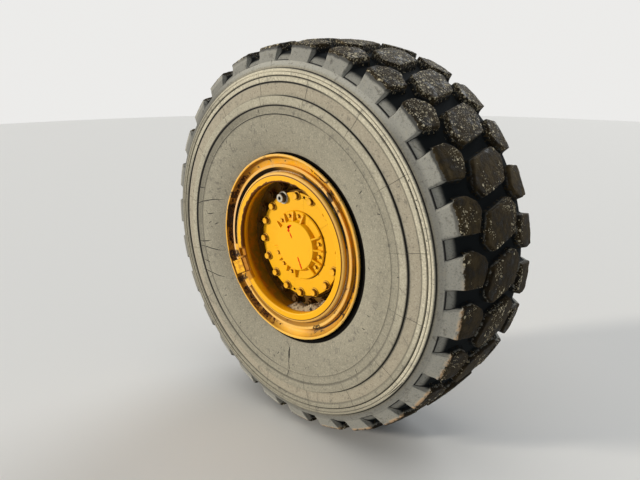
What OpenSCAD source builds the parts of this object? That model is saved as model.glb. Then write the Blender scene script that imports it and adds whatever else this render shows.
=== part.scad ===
// Wheel end of an articulated dump truck: one tyre on its five-piece rim, the planetary
// hub that drives it, and the axle arm that carries both. Millimetres, +Z up. The origin is
// the centre of the arm's inboard flange, and the wheel's outer face looks towards -Y.
// Every solid is drawn lying along its own axis first: local z is the distance outboard.

/* [Tyre] */
// Outside diameter over the lugs
tyre_od = 1617; // [1560:1:1680]
// Width of the inflated section at its widest rib
section_w = 595; // [570:1:625]
// Width over the outer corners of the shoulder lugs
tread_w = 476; // [450:1:500]
// Depth of the grooves at the middle of the tread
tread_depth = 34; // [20:1:40]
// How far the tread's surface falls from the middle to the lug's outer corner
crown_drop = 25; // [15:1:35]
// Height of the open notch between two lugs, down the shoulder
notch_h = 58; // [45:1:65]
// Depth of the step at the notch's lower edge
notch_step = 7; // [4:0.5:10]
// Height of the plain shoulder between the notches and the outermost rib
buttress_h = 26; // [16:1:32]
// Width of the double rib under the shoulder
shoulder_rib_w = 49; // [40:1:56]
// Width of the concave band between the double rib and the scuff rib
concave_w = 50; // [40:1:60]
// Width of the scuff rib at the widest point of the sidewall
scuff_rib_w = 36; // [28:1:42]
// How far the ribs stand out of the sidewall
rib_h = 6; // [3:0.5:8]
// Number of lug pitches around the tyre
pitches = 27; // [24:1:30]
// Thickness of the rubber and plies under the grooves
under_tread = 42; // [30:1:50]
// Thickness of the sidewall
sidewall_t = 24; // [18:1:30]

/* [Rim] */
// Diameter of the bead seats
bead_d = 635; // [620:1:650]
// Width between the two flanges
rim_w = 495; // [480:1:510]
// Height of a flange over the bead seat
flange_h = 63.5; // [55:0.5:70]
// Radius of the curl at the top of a flange
flange_curl = 38; // [32:1:42]
// Thickness of a flange
flange_t = 12; // [9:0.5:14]
// Inside diameter of the gutter lip at the open end of the barrel
gutter_d = 541; // [530:1:556]
// Thickness of the barrel wall
barrel_t = 12; // [9:0.5:14]
// Depth of the gutter section along the barrel
gutter_l = 36; // [30:1:42]
// Angle of the driver key, anticlockwise from +X as seen from outside
key_angle = 206; // [0:1:359]
// Width of the driver key
key_w = 60; // [44:1:64]
// Angle left open by the split lock ring
lock_gap = 38; // [30:1:46]

/* [Wheel Disc] */
// Depth of the disc's outer face behind the outer flange's lip
disc_depth = 116; // [108:1:124]
// Thickness of the disc
disc_t = 22; // [16:1:28]
// Number of wheel nuts
nuts = 20; // [16:1:24]
// Width of a wheel nut across its flats
nut_af = 32; // [27:1:34]
// Height of a wheel nut
nut_h = 24; // [18:1:30]

/* [Planetary Hub] */
// Diameter of the hub's outer drum
drum_d = 452; // [444:1:458]
// Depth of the drive cover's outer face behind the outer flange's lip
cover_depth = 80; // [68:1:86]
// Thickness of the drive cover
cover_t = 14; // [11:1:18]
// Diameter of the circle of cover bolts
cover_pcd = 410; // [404:1:416]
// Number of places on that circle, one of them taken by the oil plug
cover_places = 16; // [14:1:18]
// Width of a cover bolt's head across its flats
cover_bolt_af = 22; // [19:1:24]
// Diameter of the planet carrier's cap
cap_d = 290; // [270:1:300]
// Height of the cap over the drive cover
cap_h = 26; // [20:1:32]
// Diameter of the smooth disc in the middle of the cap
cap_disc_d = 200; // [185:1:210]
// Number of bolts in each of the cap's three groups
cap_bolts_each = 3; // [2:1:4]
// Thickness of the cap's ribs
cap_rib_t = 7; // [5:0.5:9]
// Diameter of the circle of cap bolts
cap_pcd = 250; // [240:1:256]
// Width of a cap bolt's head across its flats
cap_bolt_af = 14; // [12:0.5:16]
// Thickness of the hub flange behind the disc
hub_flange_t = 26; // [20:1:32]
// Diameter of the hub barrel round the bearings
hub_barrel_d = 300; // [280:1:316]
// Length of the hub barrel behind its flange
hub_barrel_l = 150; // [130:1:165]

/* [Spindle and Brake] */
// Diameter of the spindle's bearing journals
journal_d = 200; // [190:1:210]
// Running clearance between journal and hub, on the radius
running_fit = 0.05; // [0.03:0.01:0.1]
// Diameter of the passage for the half shaft
shaft_bore_d = 96; // [80:1:110]
// Clearance between what turns and what stands still
turn_gap = 9; // [8:0.5:12]
// Diameter of the brake housing
brake_d = 424; // [400:1:440]
// Length of the brake housing
brake_l = 112; // [95:1:125]
// Number of bolts through the brake housing
brake_bolts = 16; // [12:1:20]

/* [Axle Arm] */
// Distance from the mounting flange to the middle of the tyre
arm_reach = 700; // [680:1:760]
// Diameter of the mounting flange
mount_d = 470; // [456:1:490]
// Thickness of the mounting flange
mount_t = 28; // [22:1:34]
// Diameter of the bolt circle of the mounting flange
mount_pcd = 420; // [410:1:426]
// Number of bolts in the mounting flange
mount_bolts = 20; // [16:1:24]
// Diameter of a bolt hole in the mounting flange
mount_hole_d = 22; // [20:0.5:24]
// Diameter of the arm next to the mounting flange
arm_root_d = 330; // [310:1:340]
// Diameter of the arm at its waist
arm_waist_d = 250; // [236:1:262]

/* [Suspension Seats] */
// Distance of the beam seat and of the rod bracket from the mounting flange
seat_at = 205; // [190:1:220]
// Height of the beam seat's top face over the axle line
seat_z = 205; // [190:1:220]
// Length of the beam seat along the truck
seat_l = 240; // [220:1:260]
// Width of the beam seat along the axle
seat_w = 190; // [170:1:200]
// Number of rubber layers in the beam's spring
spring_layers = 4; // [3:1:5]
// Thickness of one rubber layer
spring_rubber_t = 16; // [12:1:20]
// Thickness of the steel plate over each rubber layer
spring_plate_t = 6; // [4:1:8]
// How far the spring stands back from the ends of its seat
spring_inset = 38; // [34:1:44]
// Depth of the torque rod's pin under the axle line
rod_z = 268; // [262:1:280]
// Diameter of the torque rod's pin hole
rod_pin_d = 50; // [40:1:56]

/* [Hidden] */

yellow = "#e8a80c";
worn_yellow = "#c98a1c";
rubber = "#77736a";
bare_steel = "#8d877e";
cast_grey = "#5c5a56";

// Planes along the wheel, as distances outboard of the tyre's middle
lip_s = rim_w / 2 + flange_curl - 2.5;
disc_s = lip_s - disc_depth;
nut_r = (drum_d / 2 + bead_d / 2 - 12.5 - barrel_t) / 2 - 5.5;
cover_s = lip_s - cover_depth;
hub_flange_s = disc_s - disc_t;
hub_back_s = hub_flange_s - hub_flange_t - hub_barrel_l;
brake_s = hub_back_s - turn_gap;
arm_end_s = brake_s - brake_l;

// Radii of the rim
bead_r = bead_d / 2;
lip_r = bead_r + flange_h;
barrel_r = bead_r - 12.5;
barrel_in_r = barrel_r - barrel_t;
gutter_r = gutter_d / 2;
gutter_top_r = barrel_r + 4;
seat_lip_r = lip_r - flange_curl - 2;

// Radii of the tyre, counted inwards from the crown
crown_r = tyre_od / 2;
corner_r = crown_r - crown_drop;
notch_r = corner_r - notch_h;
rib_out_r = notch_r - buttress_h;
rib_in_r = rib_out_r - shoulder_rib_w;
scuff_out_r = rib_in_r - concave_w;
scuff_in_r = scuff_out_r - scuff_rib_w;
half_w = section_w / 2;
half_tread = tread_w / 2;
shoulder_s = half_w - 14;
buttress_s = shoulder_s - 11;
fit = 0.3;

module outboard() {
  rotate([90, 0, 0]) children();
}

module at_wheel() {
  outboard() translate([0, 0, arm_reach]) children();
}

// A ring turned round the axle line from points given as [outboard, radius]
module turned(points, facets = 180) {
  rotate_extrude($fn = facets) polygon([for (p = points) [p[1], p[0]]]);
}

module around(count, from = 0) {
  for (i = [0:count - 1]) rotate([0, 0, from + i * 360 / count]) children();
}

module hex(across, height) {
  cylinder(d = across / cos(30), h = height, $fn = 6);
}

function mirrored(points) = [for (i = [len(points) - 1:-1:0]) [-points[i][0], points[i][1]]];

// Sidewall from the bead's heel to the outermost rib, on the outboard side
curl_s = rim_w / 2 + flange_curl;
curl_r = lip_r - flange_curl;
leave_angle = 48;
touch_r = flange_curl + fit;
leave = [curl_s - touch_r * cos(leave_angle), curl_r + touch_r * sin(leave_angle)];
wall_s = half_w - rib_h;
bulge_h = (scuff_in_r - leave[1]) * 0.62;
sidewall = concat(
  [[rim_w / 2 - fit, bead_r]],
  [for (a = [0:12:leave_angle]) [curl_s - touch_r * cos(a), curl_r + touch_r * sin(a)]],
  [for (i = [1:7]) let (q = i / 7)
    [leave[0] + (wall_s - leave[0]) * sin(90 * q), leave[1] + bulge_h * q]],
  [[wall_s + 0.5, scuff_in_r - 38], [wall_s + 2, scuff_in_r - 37], [wall_s + 1, scuff_in_r - 3],
   [half_w, scuff_in_r + 2], [half_w - 1, scuff_out_r - 3], [half_w - 4, scuff_out_r],
   [wall_s - 3, scuff_out_r + 4], [wall_s - 5, scuff_out_r + concave_w * 0.35],
   [wall_s - 7, rib_in_r - concave_w * 0.25], [wall_s - 8, rib_in_r - 3],
   [shoulder_s, rib_in_r], [shoulder_s, rib_in_r + 14], [shoulder_s - 4, rib_in_r + 15.5],
   [shoulder_s - 4, rib_in_r + 18.5], [shoulder_s - 0.5, rib_in_r + 20],
   [shoulder_s - 3, rib_out_r - 3], [shoulder_s - 5, rib_out_r]]);

// Face of the shoulder at a given radius, from the outermost rib to the lug's outer corner
face_low = rib_out_r + 3;
function face_at(r) = buttress_s + (half_tread - buttress_s) * (r - face_low) / (corner_r - face_low);

// Floor of the grooves, from the step at the notch's edge to the middle of the tread
floor_r = crown_r - tread_depth;
groove_floor = [[buttress_s, face_low], [face_at(notch_r), notch_r],
  [face_at(notch_r) - notch_step, notch_r + 2],
  [half_tread + 3, notch_r + (floor_r - notch_r) * 0.36],
  [half_tread - 18, notch_r + (floor_r - notch_r) * 0.64],
  [half_tread * 0.72, floor_r - 9], [half_tread * 0.45, floor_r - 3], [0, floor_r]];

// Outside of the lugs over the same stretch
crown_curve = (pow(half_tread - 8, 2) + pow(crown_drop - 6, 2)) / (2 * (crown_drop - 6));
function crown_at(s) = crown_r - crown_curve + sqrt(pow(crown_curve, 2) - pow(s, 2));
lug_proud = 0.8;
lug_foot_r = notch_r - 5;
lug_face = concat([[face_at(lug_foot_r) + lug_proud, lug_foot_r], [half_tread + lug_proud, corner_r]],
  [for (q = [1, 0.75, 0.5, 0.25, 0]) let (s = q * (half_tread - 8)) [s, crown_at(s)]]);

// Air chamber, from the bead's toe up the inside of the sidewall and under the tread
toe_s = rim_w / 2 - 56;
chamber_w = half_w - sidewall_t - rib_h;
chamber_mid_r = bead_r + (crown_r - bead_r) * 0.5;
chamber_top_r = floor_r - under_tread;
chamber = concat([[toe_s, bead_r], [toe_s + 8, bead_r + 30]],
  [for (a = [-42:12:-6]) [chamber_w * cos(a), chamber_mid_r + (chamber_mid_r - bead_r) * 0.92 * sin(a)]],
  [for (a = [0:12:84]) [chamber_w * pow(cos(a), 0.8),
    chamber_mid_r + (chamber_top_r - chamber_mid_r) * sin(a)]],
  [[0, chamber_top_r]]);

// Lug outlines seen from above: [across the tread's run, outboard of the middle]
shoulder_lug = [[55, 320], [57, 180], [32, 135], [1, 117], [-71, 150], [-59, 246], [-56, 320]];
centre_lug = [[-40, 117], [-80, 75], [-49, -76], [40, -117], [80, -75], [49, 76]];
lug_turn = -5.0;
lug_phase = 5.9;
lug_draw_r = 808;
// Columns: outline, turn from the pitch line in degrees, +1 outboard or -1 inboard
lug_rows = [[shoulder_lug, 0, 1], [centre_lug, lug_turn, 1], [shoulder_lug, 2 * lug_turn, -1]];

module lug_prism(outline, side) {
  grow = tread_w / 476;
  lap = crown_r / lug_draw_r;
  translate([rib_out_r - 30, 0, 0]) rotate([90, 0, 90])
    linear_extrude(height = crown_r - rib_out_r + 60)
      polygon([for (p = outline) [side * p[0] * lap * 27 / pitches, side * p[1] * grow]]);
}

module lug_envelope() {
  low = [for (i = [2:len(groove_floor) - 1]) groove_floor[i] - [0, 6]];
  half = concat([[face_at(lug_foot_r) - notch_step - 3, lug_foot_r]], low);
  turned(concat(half, [for (i = [len(half) - 2:-1:0]) [-half[i][0], half[i][1]]],
    [for (p = lug_face) [-p[0], p[1]]], [for (i = [len(lug_face) - 2:-1:0]) lug_face[i]]));
}

module tyre() {
  color(rubber) at_wheel() {
    outside = concat(sidewall, groove_floor);
    turned(concat(outside, mirrored([for (i = [0:len(outside) - 2]) outside[i]]),
      [for (p = chamber) [-p[0], p[1]]], [for (i = [len(chamber) - 2:-1:0]) chamber[i]]));
    intersection() {
      lug_envelope();
      for (row = lug_rows) around(pitches, lug_phase + row[1]) lug_prism(row[0], row[2]);
    }
  }
}

// Planes of the gutter: inboard face of its lip, outboard face of the lock ring, foot of the bevel
gutter_lip_s = lip_s - 19.5;
ring_s = gutter_lip_s - 1.5;
bevel_s = lip_s - 33;

// Slots cut in the gutter lip: angle from the key, width and height. The key lies in the second
key_seat_s = lip_s - 11;
key_slots = [[-11, 34, 27], [0, key_w + 6, 60]];

module rim_base() {
  seat_in = -rim_w / 2 + 62;
  back = -lip_s;
  groove = [bevel_s + 2, gutter_lip_s];
  color(yellow) at_wheel() difference() {
    turned([[back, barrel_in_r], [lip_s - gutter_l - 12, barrel_in_r], [lip_s - gutter_l, gutter_r],
      [lip_s - 5, gutter_r], [lip_s - 1.5, gutter_r + 1.5], [lip_s, gutter_r + 5],
      [lip_s, gutter_top_r - 13], [lip_s - 5, gutter_top_r - 3], [lip_s - 9, gutter_top_r],
      [groove[1], gutter_top_r], [groove[1], barrel_r - 7], [groove[0], barrel_r - 7],
      [groove[0], barrel_r], [seat_in + 10, barrel_r], [seat_in, bead_r],
      [-rim_w / 2 - flange_t - 2, bead_r], [-rim_w / 2 - flange_t - 2, seat_lip_r],
      [back + 3, seat_lip_r], [back, seat_lip_r - 3]]);
    for (slot = key_slots) rotate([0, 0, key_angle + slot[0]])
      translate([gutter_r - 10, -slot[1] / 2, key_seat_s]) cube([10 + slot[2], slot[1], 20]);
    rotate([0, 0, 90]) translate([barrel_in_r - 20, 0, disc_s + 34]) rotate([0, 90, 0])
      cylinder(d = 18, h = 40, $fn = 32);
  }
}

// The key's pocket on the band fills the gap that the split lock ring leaves
module bead_seat_band() {
  end_s = key_seat_s;
  pocket = lock_gap / 2 - 1.4;
  color(worn_yellow) at_wheel() {
    turned([[toe_s - 6, barrel_r + fit], [toe_s - 6, barrel_r + 5], [toe_s + 4, bead_r],
      [rim_w / 2 + flange_t + 2, bead_r], [rim_w / 2 + flange_t + 2, seat_lip_r],
      [end_s - 2, seat_lip_r], [end_s, seat_lip_r - 2], [end_s, barrel_r + fit + end_s - bevel_s],
      [bevel_s, barrel_r + fit]]);
    for (side = [-1, 1]) rotate([0, 0, key_angle + side * (pocket + key_pocket_half()) / 2])
      rotate([0, 0, -(pocket - key_pocket_half()) / 2])
        rotate_extrude(angle = pocket - key_pocket_half(), $fn = 180)
          translate([gutter_top_r + 3, end_s - 12]) square([seat_lip_r - gutter_top_r - 5, 14]);
  }
}

function key_pocket_half() = (key_w / 2 + 1.5) / (bead_r * PI / 180);

module lock_ring() {
  foot_r = barrel_r - 7 + fit;
  top_r = barrel_r + ring_s - 3 - bevel_s;
  color(bare_steel) at_wheel() rotate([0, 0, key_angle + lock_gap / 2])
    rotate_extrude(angle = 360 - lock_gap, $fn = 180)
      polygon([[foot_r, bevel_s + 2 + fit], [foot_r, ring_s - 2], [foot_r + 2, ring_s],
        [top_r - 2, ring_s], [top_r, ring_s - 3], [barrel_r + 2, bevel_s + 2 + fit]]);
}

function flange_section(side) = let (
    foot = bead_r + fit,
    inner = rim_w / 2,
    tip = lip_s)
  [for (p = concat(
    [[inner, foot]],
    [for (a = [0:15:75]) [curl_s - flange_curl * cos(a), curl_r + flange_curl * sin(a)]],
    [[tip - 6, lip_r], [tip - 2, lip_r - 1], [tip, lip_r - 4], [tip, lip_r - flange_t + 2],
     [tip - 2, lip_r - flange_t]],
    [for (a = [75:-15:0]) [curl_s - (flange_curl - flange_t) * cos(a),
      curl_r + (flange_curl - flange_t) * sin(a)]],
    [[inner + flange_t, foot]])) [side * p[0], p[1]]];

module outer_flange() {
  color(yellow) at_wheel() turned(flange_section(1));
}

module inner_flange() {
  color(yellow) at_wheel() turned(flange_section(-1));
}

module driver_key() {
  low = gutter_top_r - 9;
  color(yellow) at_wheel() rotate([0, 0, key_angle]) {
    translate([low, -key_w / 2, key_seat_s]) cube([lip_r - flange_t - 7 - low, key_w, 9]);
    translate([gutter_r + 4, -key_w / 2, key_seat_s]) cube([low - gutter_r - 3, key_w, 4]);
  }
}

module wheel_disc() {
  color(yellow) at_wheel() difference() {
    turned([[hub_flange_s, drum_d / 2 + 1], [disc_s - 2, drum_d / 2 + 1], [disc_s, drum_d / 2 + 3],
      [disc_s, barrel_in_r - 12], [disc_s + 9, barrel_in_r], [hub_flange_s - 9, barrel_in_r],
      [hub_flange_s, barrel_in_r - 12]]);
    around(nuts, 9) translate([nut_r, 0, hub_flange_s - 1])
      cylinder(d = nut_af * 0.78, h = disc_t + 2, $fn = 32);
  }
}

module wheel_nuts() {
  stud_d = nut_af * 0.69;
  color(bare_steel) at_wheel() around(nuts, 9) translate([nut_r, 0, 0]) {
    translate([0, 0, disc_s]) cylinder(d = nut_af * 1.16, h = 4, $fn = 48);
    translate([0, 0, disc_s + 4]) hex(nut_af, nut_h - 4);
    translate([0, 0, hub_flange_s]) cylinder(d = stud_d, h = disc_t + nut_h + 8, $fn = 32);
  }
}

module valve() {
  color(bare_steel) at_wheel() rotate([0, 0, 90]) translate([0, 0, disc_s + 34]) {
    translate([barrel_in_r - 3, 0, 0]) rotate([0, 90, 0]) cylinder(d = 16, h = barrel_t + 2, $fn = 32);
    translate([barrel_in_r - 9, 0, 0]) rotate([0, 90, 0]) hex(20, 8);
    translate([gutter_r - 18, 0, 0]) rotate([0, 90, 0])
      cylinder(d = 12, h = barrel_in_r - gutter_r + 10, $fn = 32);
    translate([gutter_r - 13, 0, -5]) cylinder(d = 9, h = 40, $fn = 24);
    translate([gutter_r - 13, 0, 28]) cylinder(d = 13, h = 14, $fn = 24);
  }
}

module hub() {
  drum_r = drum_d / 2;
  front = cover_s - cover_t;
  bore = journal_d / 2 + running_fit;
  barrel = hub_barrel_d / 2;
  land = 42;
  color(worn_yellow) at_wheel() difference() {
    turned([[front, cover_pcd / 2 - 22], [front, drum_r - 2], [front - 2, drum_r],
      [hub_flange_s, drum_r], [hub_flange_s, barrel_in_r - 16],
      [hub_flange_s - hub_flange_t, barrel_in_r - 16], [hub_flange_s - hub_flange_t, barrel + 22],
      [hub_flange_s - hub_flange_t - 24, barrel], [hub_back_s, barrel - 8], [hub_back_s, bore],
      [hub_back_s + land, bore], [hub_back_s + land + 5, bore + 10],
      [hub_flange_s - land - 5, bore + 10], [hub_flange_s - land, bore], [hub_flange_s + 2, bore],
      [hub_flange_s + 2, cover_pcd / 2 - 22]]);
    around(cover_places, cover_turn) translate([cover_pcd / 2, 0, front - cover_bolt_af * 1.55])
      cylinder(d = cover_bolt_af * 0.68, h = cover_bolt_af * 1.55 + 6, $fn = 32);
  }
}

// Places round the drive cover: one takes the plug, three take flush set screws, the rest bolts
cover_turn = 2.8;
plug_place = 5;
set_screws = [0, 1, 2];
module cover_place(i) {
  rotate([0, 0, cover_turn + i * 360 / cover_places]) translate([cover_pcd / 2, 0, 0]) children();
}

module drive_cover() {
  boss_r = 17;
  back = cover_s - cover_t;
  cap_seat_r = cap_pcd / 2 - 18;
  color(yellow) at_wheel() difference() {
    union() {
      translate([0, 0, back]) linear_extrude(height = cover_t) difference() {
        union() {
          circle(r = cover_pcd / 2 + 7, $fn = 180);
          around(cover_places, cover_turn) translate([cover_pcd / 2, 0]) circle(r = boss_r, $fn = 48);
          circle(r = (cover_pcd / 2 + boss_r) * cos(180 / cover_places), $fn = 180);
        }
        circle(r = cap_seat_r, $fn = 120);
      }
      translate([0, 0, back - 8]) difference() {
        cylinder(r = cover_pcd / 2 - 22 - fit, h = 8, $fn = 180);
        translate([0, 0, -1]) cylinder(r = cap_seat_r, h = 10, $fn = 120);
      }
    }
    around(cover_places, cover_turn) translate([cover_pcd / 2, 0, back - 1])
      cylinder(d = cover_bolt_af * 0.73, h = cover_t + 2, $fn = 32);
    for (i = [1, 3, 11]) rotate([0, 0, cover_turn + (i + 0.5) * 360 / cover_places])
      translate([cover_pcd / 2, 0, back - 1]) cylinder(d = 9, h = cover_t + 2, $fn = 24);
  }
}

module cover_bolts() {
  head_flange = cover_bolt_af * 0.18;
  grip = cover_bolt_af * 1.2;
  color(yellow) at_wheel() {
    for (i = [0:cover_places - 1])
      if (i != plug_place && i > set_screws[2]) cover_place(i) {
        translate([0, 0, cover_s]) cylinder(d = cover_bolt_af * 1.32, h = head_flange, $fn = 48);
        translate([0, 0, cover_s + head_flange]) hex(cover_bolt_af, cover_bolt_af * 0.46);
        translate([0, 0, cover_s - cover_t - grip])
          cylinder(d = cover_bolt_af * 0.64, h = cover_t + grip, $fn = 32);
      }
    for (i = set_screws) cover_place(i) difference() {
      translate([0, 0, cover_s - cover_t - grip])
        cylinder(d = cover_bolt_af * 0.64, h = cover_t + grip - 1.5, $fn = 32);
      translate([0, 0, cover_s - 8]) hex(cover_bolt_af * 0.32, 10);
    }
  }
}

module oil_plug() {
  color(bare_steel) at_wheel() rotate([0, 0, cover_turn + plug_place * 360 / cover_places])
    translate([cover_pcd / 2, 0, 0]) {
      translate([0, 0, cover_s - cover_t]) cylinder(d = cover_bolt_af * 0.68, h = cover_t, $fn = 32);
      translate([0, 0, cover_s]) cylinder(d = 42, h = 6, $fn = 64);
      translate([0, 0, cover_s + 6]) cylinder(d = 33, h = 10, $fn = 64);
      difference() {
        translate([0, 0, cover_s + 16]) cylinder(d = 27, h = 9, $fn = 64);
        translate([0, 0, cover_s + 18]) hex(12, 8);
      }
    }
}

module carrier_cap() {
  cap_r = cap_d / 2;
  disc_r = cap_disc_d / 2;
  seat_r = cap_pcd / 2 - 18 - fit;
  top = cover_s + cap_h;
  color(yellow) at_wheel() difference() {
    union() {
      turned([[cover_s - cover_t, 0], [cover_s - cover_t, seat_r], [cover_s, seat_r], [cover_s, cap_r],
        [cover_s + cap_floor - 3, cap_r - 1], [cover_s + cap_floor, cap_r - 4],
        [cover_s + cap_floor, disc_r + 8], [top - 2.5, disc_r + 2.5], [top, disc_r], [top, 0]], 144);
      for (group = cap_groups, k = [0:cap_bolts_each])
        rotate([0, 0, group + (k - cap_bolts_each / 2) * cap_step]) cap_rib(disc_r - 6, cap_r - 3, top);
    }
    cap_bolt_places() translate([0, 0, cover_s - 1]) cylinder(d = cap_bolt_af * 0.75, h = cap_h, $fn = 24);
  }
}

// One group of bolts lies over each planet's pin, with a rib on both sides of every bolt
cap_groups = [-10, 110, 230];
cap_step = 24;
cap_floor = 9;
module cap_bolt_places() {
  for (group = cap_groups, k = [0:cap_bolts_each - 1])
    rotate([0, 0, group + (k - (cap_bolts_each - 1) / 2) * cap_step])
      translate([cap_pcd / 2, 0, 0]) children();
}

// A radial rib that falls towards the cap's rim
module cap_rib(from_r, to_r, top) {
  translate([0, cap_rib_t / 2, 0]) rotate([90, 0, 0]) linear_extrude(height = cap_rib_t)
    polygon([[from_r, cover_s + 2], [to_r, cover_s + 2], [to_r, cover_s + cap_floor + 4],
      [to_r - 4, cover_s + cap_floor + 8], [from_r + 12, top - 2], [from_r, top - 2]]);
}

module cap_bolts() {
  color(yellow) at_wheel() cap_bolt_places() {
    washer_h = cap_bolt_af * 0.18;
    translate([0, 0, cover_s + cap_floor]) cylinder(d = cap_bolt_af * 1.36, h = washer_h, $fn = 40);
    translate([0, 0, cover_s + cap_floor + washer_h]) hex(cap_bolt_af, cap_bolt_af * 0.5);
    translate([0, 0, cover_s]) cylinder(d = cap_bolt_af * 0.68, h = cap_floor, $fn = 24);
  }
}

module hub_seal() {
  seal_r = hub_barrel_d / 2 - 8;
  color(cast_grey) at_wheel()
    turned([[brake_s, journal_d / 2 + 4], [brake_s, seal_r + 18], [hub_back_s + 14, seal_r + 18],
      [hub_back_s + 14, seal_r + 14], [brake_s + 3, seal_r + 14], [brake_s + 3, journal_d / 2 + 4]]);
}

module spindle() {
  journal = journal_d / 2;
  color(bare_steel) at_wheel()
    turned([[arm_end_s, shaft_bore_d / 2], [hub_flange_s - 4, shaft_bore_d / 2],
      [hub_flange_s - 4, journal - 3], [hub_flange_s - 7, journal], [hub_flange_s - 46, journal],
      [hub_flange_s - 50, journal - 4], [hub_back_s + 50, journal - 4], [hub_back_s + 46, journal],
      [arm_end_s, journal]]);
}

module brake_housing() {
  radius = brake_d / 2;
  color(worn_yellow) at_wheel() difference() {
    union() {
      turned([[arm_end_s, journal_d / 2 + fit], [arm_end_s, radius - 8], [arm_end_s + 22, radius - 8],
        [arm_end_s + 22, radius], [arm_end_s + 38, radius], [arm_end_s + 38, radius - 14],
        [brake_s - 34, radius - 14], [brake_s - 34, radius], [brake_s - 18, radius],
        [brake_s, radius - 40], [brake_s, journal_d / 2 + fit]]);
      around(brake_bolts, 360 / brake_bolts / 2)
        translate([radius - 26, -6, arm_end_s + 30]) cube([22, 12, brake_l - 58]);
      for (side = [-1, 1]) brake_port(side) translate([0, 0, 10]) cylinder(d = 42, h = 24, $fn = 48);
    }
    for (side = [-1, 1]) brake_port(side) cylinder(d = 20, h = 50, $fn = 32);
  }
}

// Axis of a port through the brake housing's wall, drawn outwards from 34 mm inside its rim
module brake_port(side) {
  rotate([0, 0, 90 + side * 33.75]) translate([brake_d / 2 - 34, 0, (arm_end_s + brake_s) / 2])
    rotate([0, 90, 0]) children();
}

module brake_bolts_row() {
  color(bare_steel) at_wheel() around(brake_bolts) translate([brake_d / 2 - 18, 0, 0]) {
    translate([0, 0, arm_end_s - 28]) hex(24, 12);
  }
}

module brake_ports() {
  color(bare_steel) at_wheel() for (side = [-1, 1]) brake_port(side) {
      cylinder(d = 20 - fit, h = 34, $fn = 32);
      translate([0, 0, 34]) hex(side < 0 ? 27 : 19, 12);
      translate([0, 0, 46]) cylinder(d = side < 0 ? 17 : 9, h = 14, $fn = 32);
    }
}

module axle_arm() {
  root = arm_root_d / 2;
  waist = arm_waist_d / 2;
  end = arm_reach + arm_end_s;
  neck = brake_d / 2 - 8;
  bore = shaft_bore_d / 2 + 14;
  color(worn_yellow) outboard() difference() {
    union() {
      turned([[0, bore + 16], [0, mount_d / 2 - 3], [3, mount_d / 2], [mount_t - 3, mount_d / 2],
        [mount_t, mount_d / 2 - 3], [mount_t, root + 14], [mount_t + 16, root],
        [seat_at - 40, waist + 12], [seat_at + 60, waist], [end - 110, waist + 4], [end - 46, waist + 34],
        [end - 24, waist + 44], [end - 16, waist + 48], [end - 16, neck], [end, neck], [end, bore],
        [mount_t + 30, bore]]);
      around(6) translate([waist - 20, -7, mount_t - 4]) arm_rib(root - waist + 38);
      for (boss = plug_bosses) rotate([0, 0, boss[0]]) translate([0, 0, seat_at + plug_out])
        rotate([0, 90, 0]) cylinder(d = boss[1], h = waist + boss_h, $fn = 48);
    }
    turned([[mount_t + 20, 0], [mount_t + 20, bore], [end - 1, bore], [end - 1, 0]]);
    around(mount_bolts, 360 / mount_bolts / 2) translate([mount_pcd / 2, 0, -1])
      cylinder(d = mount_hole_d, h = mount_t + 2, $fn = 48);
  }
}

// A web between the arm and the back of its mounting flange
module arm_rib(height) {
  translate([0, 14, 0]) rotate([90, 0, 0]) linear_extrude(height = 14)
    polygon([[0, 0], [height + 14, 0], [height + 14, 8], [8, seat_at - mount_t - 20],
      [0, seat_at - mount_t - 20]]);
}

// Bosses on the arm for its plugs: angle round the arm, diameter of the boss
plug_bosses = [[-70, 44], [90, 32]];
plug_out = 150;
boss_h = 12;
module arm_plugs() {
  seat = arm_waist_d / 2 + boss_h;
  color(bare_steel) outboard() {
    rotate([0, 0, plug_bosses[0][0]]) translate([seat, 0, seat_at + plug_out]) rotate([0, 90, 0]) {
      cylinder(d = 34, h = 4, $fn = 48);
      translate([0, 0, 4]) hex(24, 10);
    }
    rotate([0, 0, plug_bosses[1][0]]) translate([seat, 0, seat_at + plug_out]) rotate([0, 90, 0]) {
      hex(19, 8);
      translate([0, 0, 8]) cylinder(d = 10, h = 8, $fn = 48);
      translate([0, 0, 16]) cylinder(d = 22, h = 18, $fn = 48);
    }
  }
}

module beam_seat() {
  waist = arm_waist_d / 2;
  plate_t = 26;
  color(worn_yellow) outboard() translate([0, 0, seat_at]) difference() {
    union() {
      translate([-seat_l / 2, seat_z - plate_t, -seat_w / 2]) cube([seat_l, plate_t, seat_w]);
      for (z = [-seat_w / 2 + 10, seat_w / 2 - 34]) translate([0, 0, z]) linear_extrude(height = 24)
        polygon([[-seat_l / 2 + 12, seat_z - plate_t], [-waist - 26, 0], [-waist - 20, -34],
          [waist + 20, -34], [waist + 26, 0], [seat_l / 2 - 12, seat_z - plate_t]]);
    }
    translate([0, 0, -seat_at]) arm_clear();
    for (x = [-1, 1], z = [-1, 1])
      translate([x * (seat_l / 2 - spring_inset + 12), seat_z - plate_t - 1, z * (seat_w / 2 - 28)])
        rotate([-90, 0, 0]) cylinder(d = 21, h = plate_t + 2, $fn = 32);
  }
}

// The arm's outside with the fit that a clamped piece leaves
module arm_clear() {
  waist = arm_waist_d / 2;
  root = arm_root_d / 2;
  turned([[mount_t + 16, 0], [mount_t + 16, root + fit], [seat_at - 40, waist + 12 + fit],
    [seat_at + 60, waist + fit], [seat_at + 200, waist + 2.5 + fit], [seat_at + 200, 0]]);
}

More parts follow.
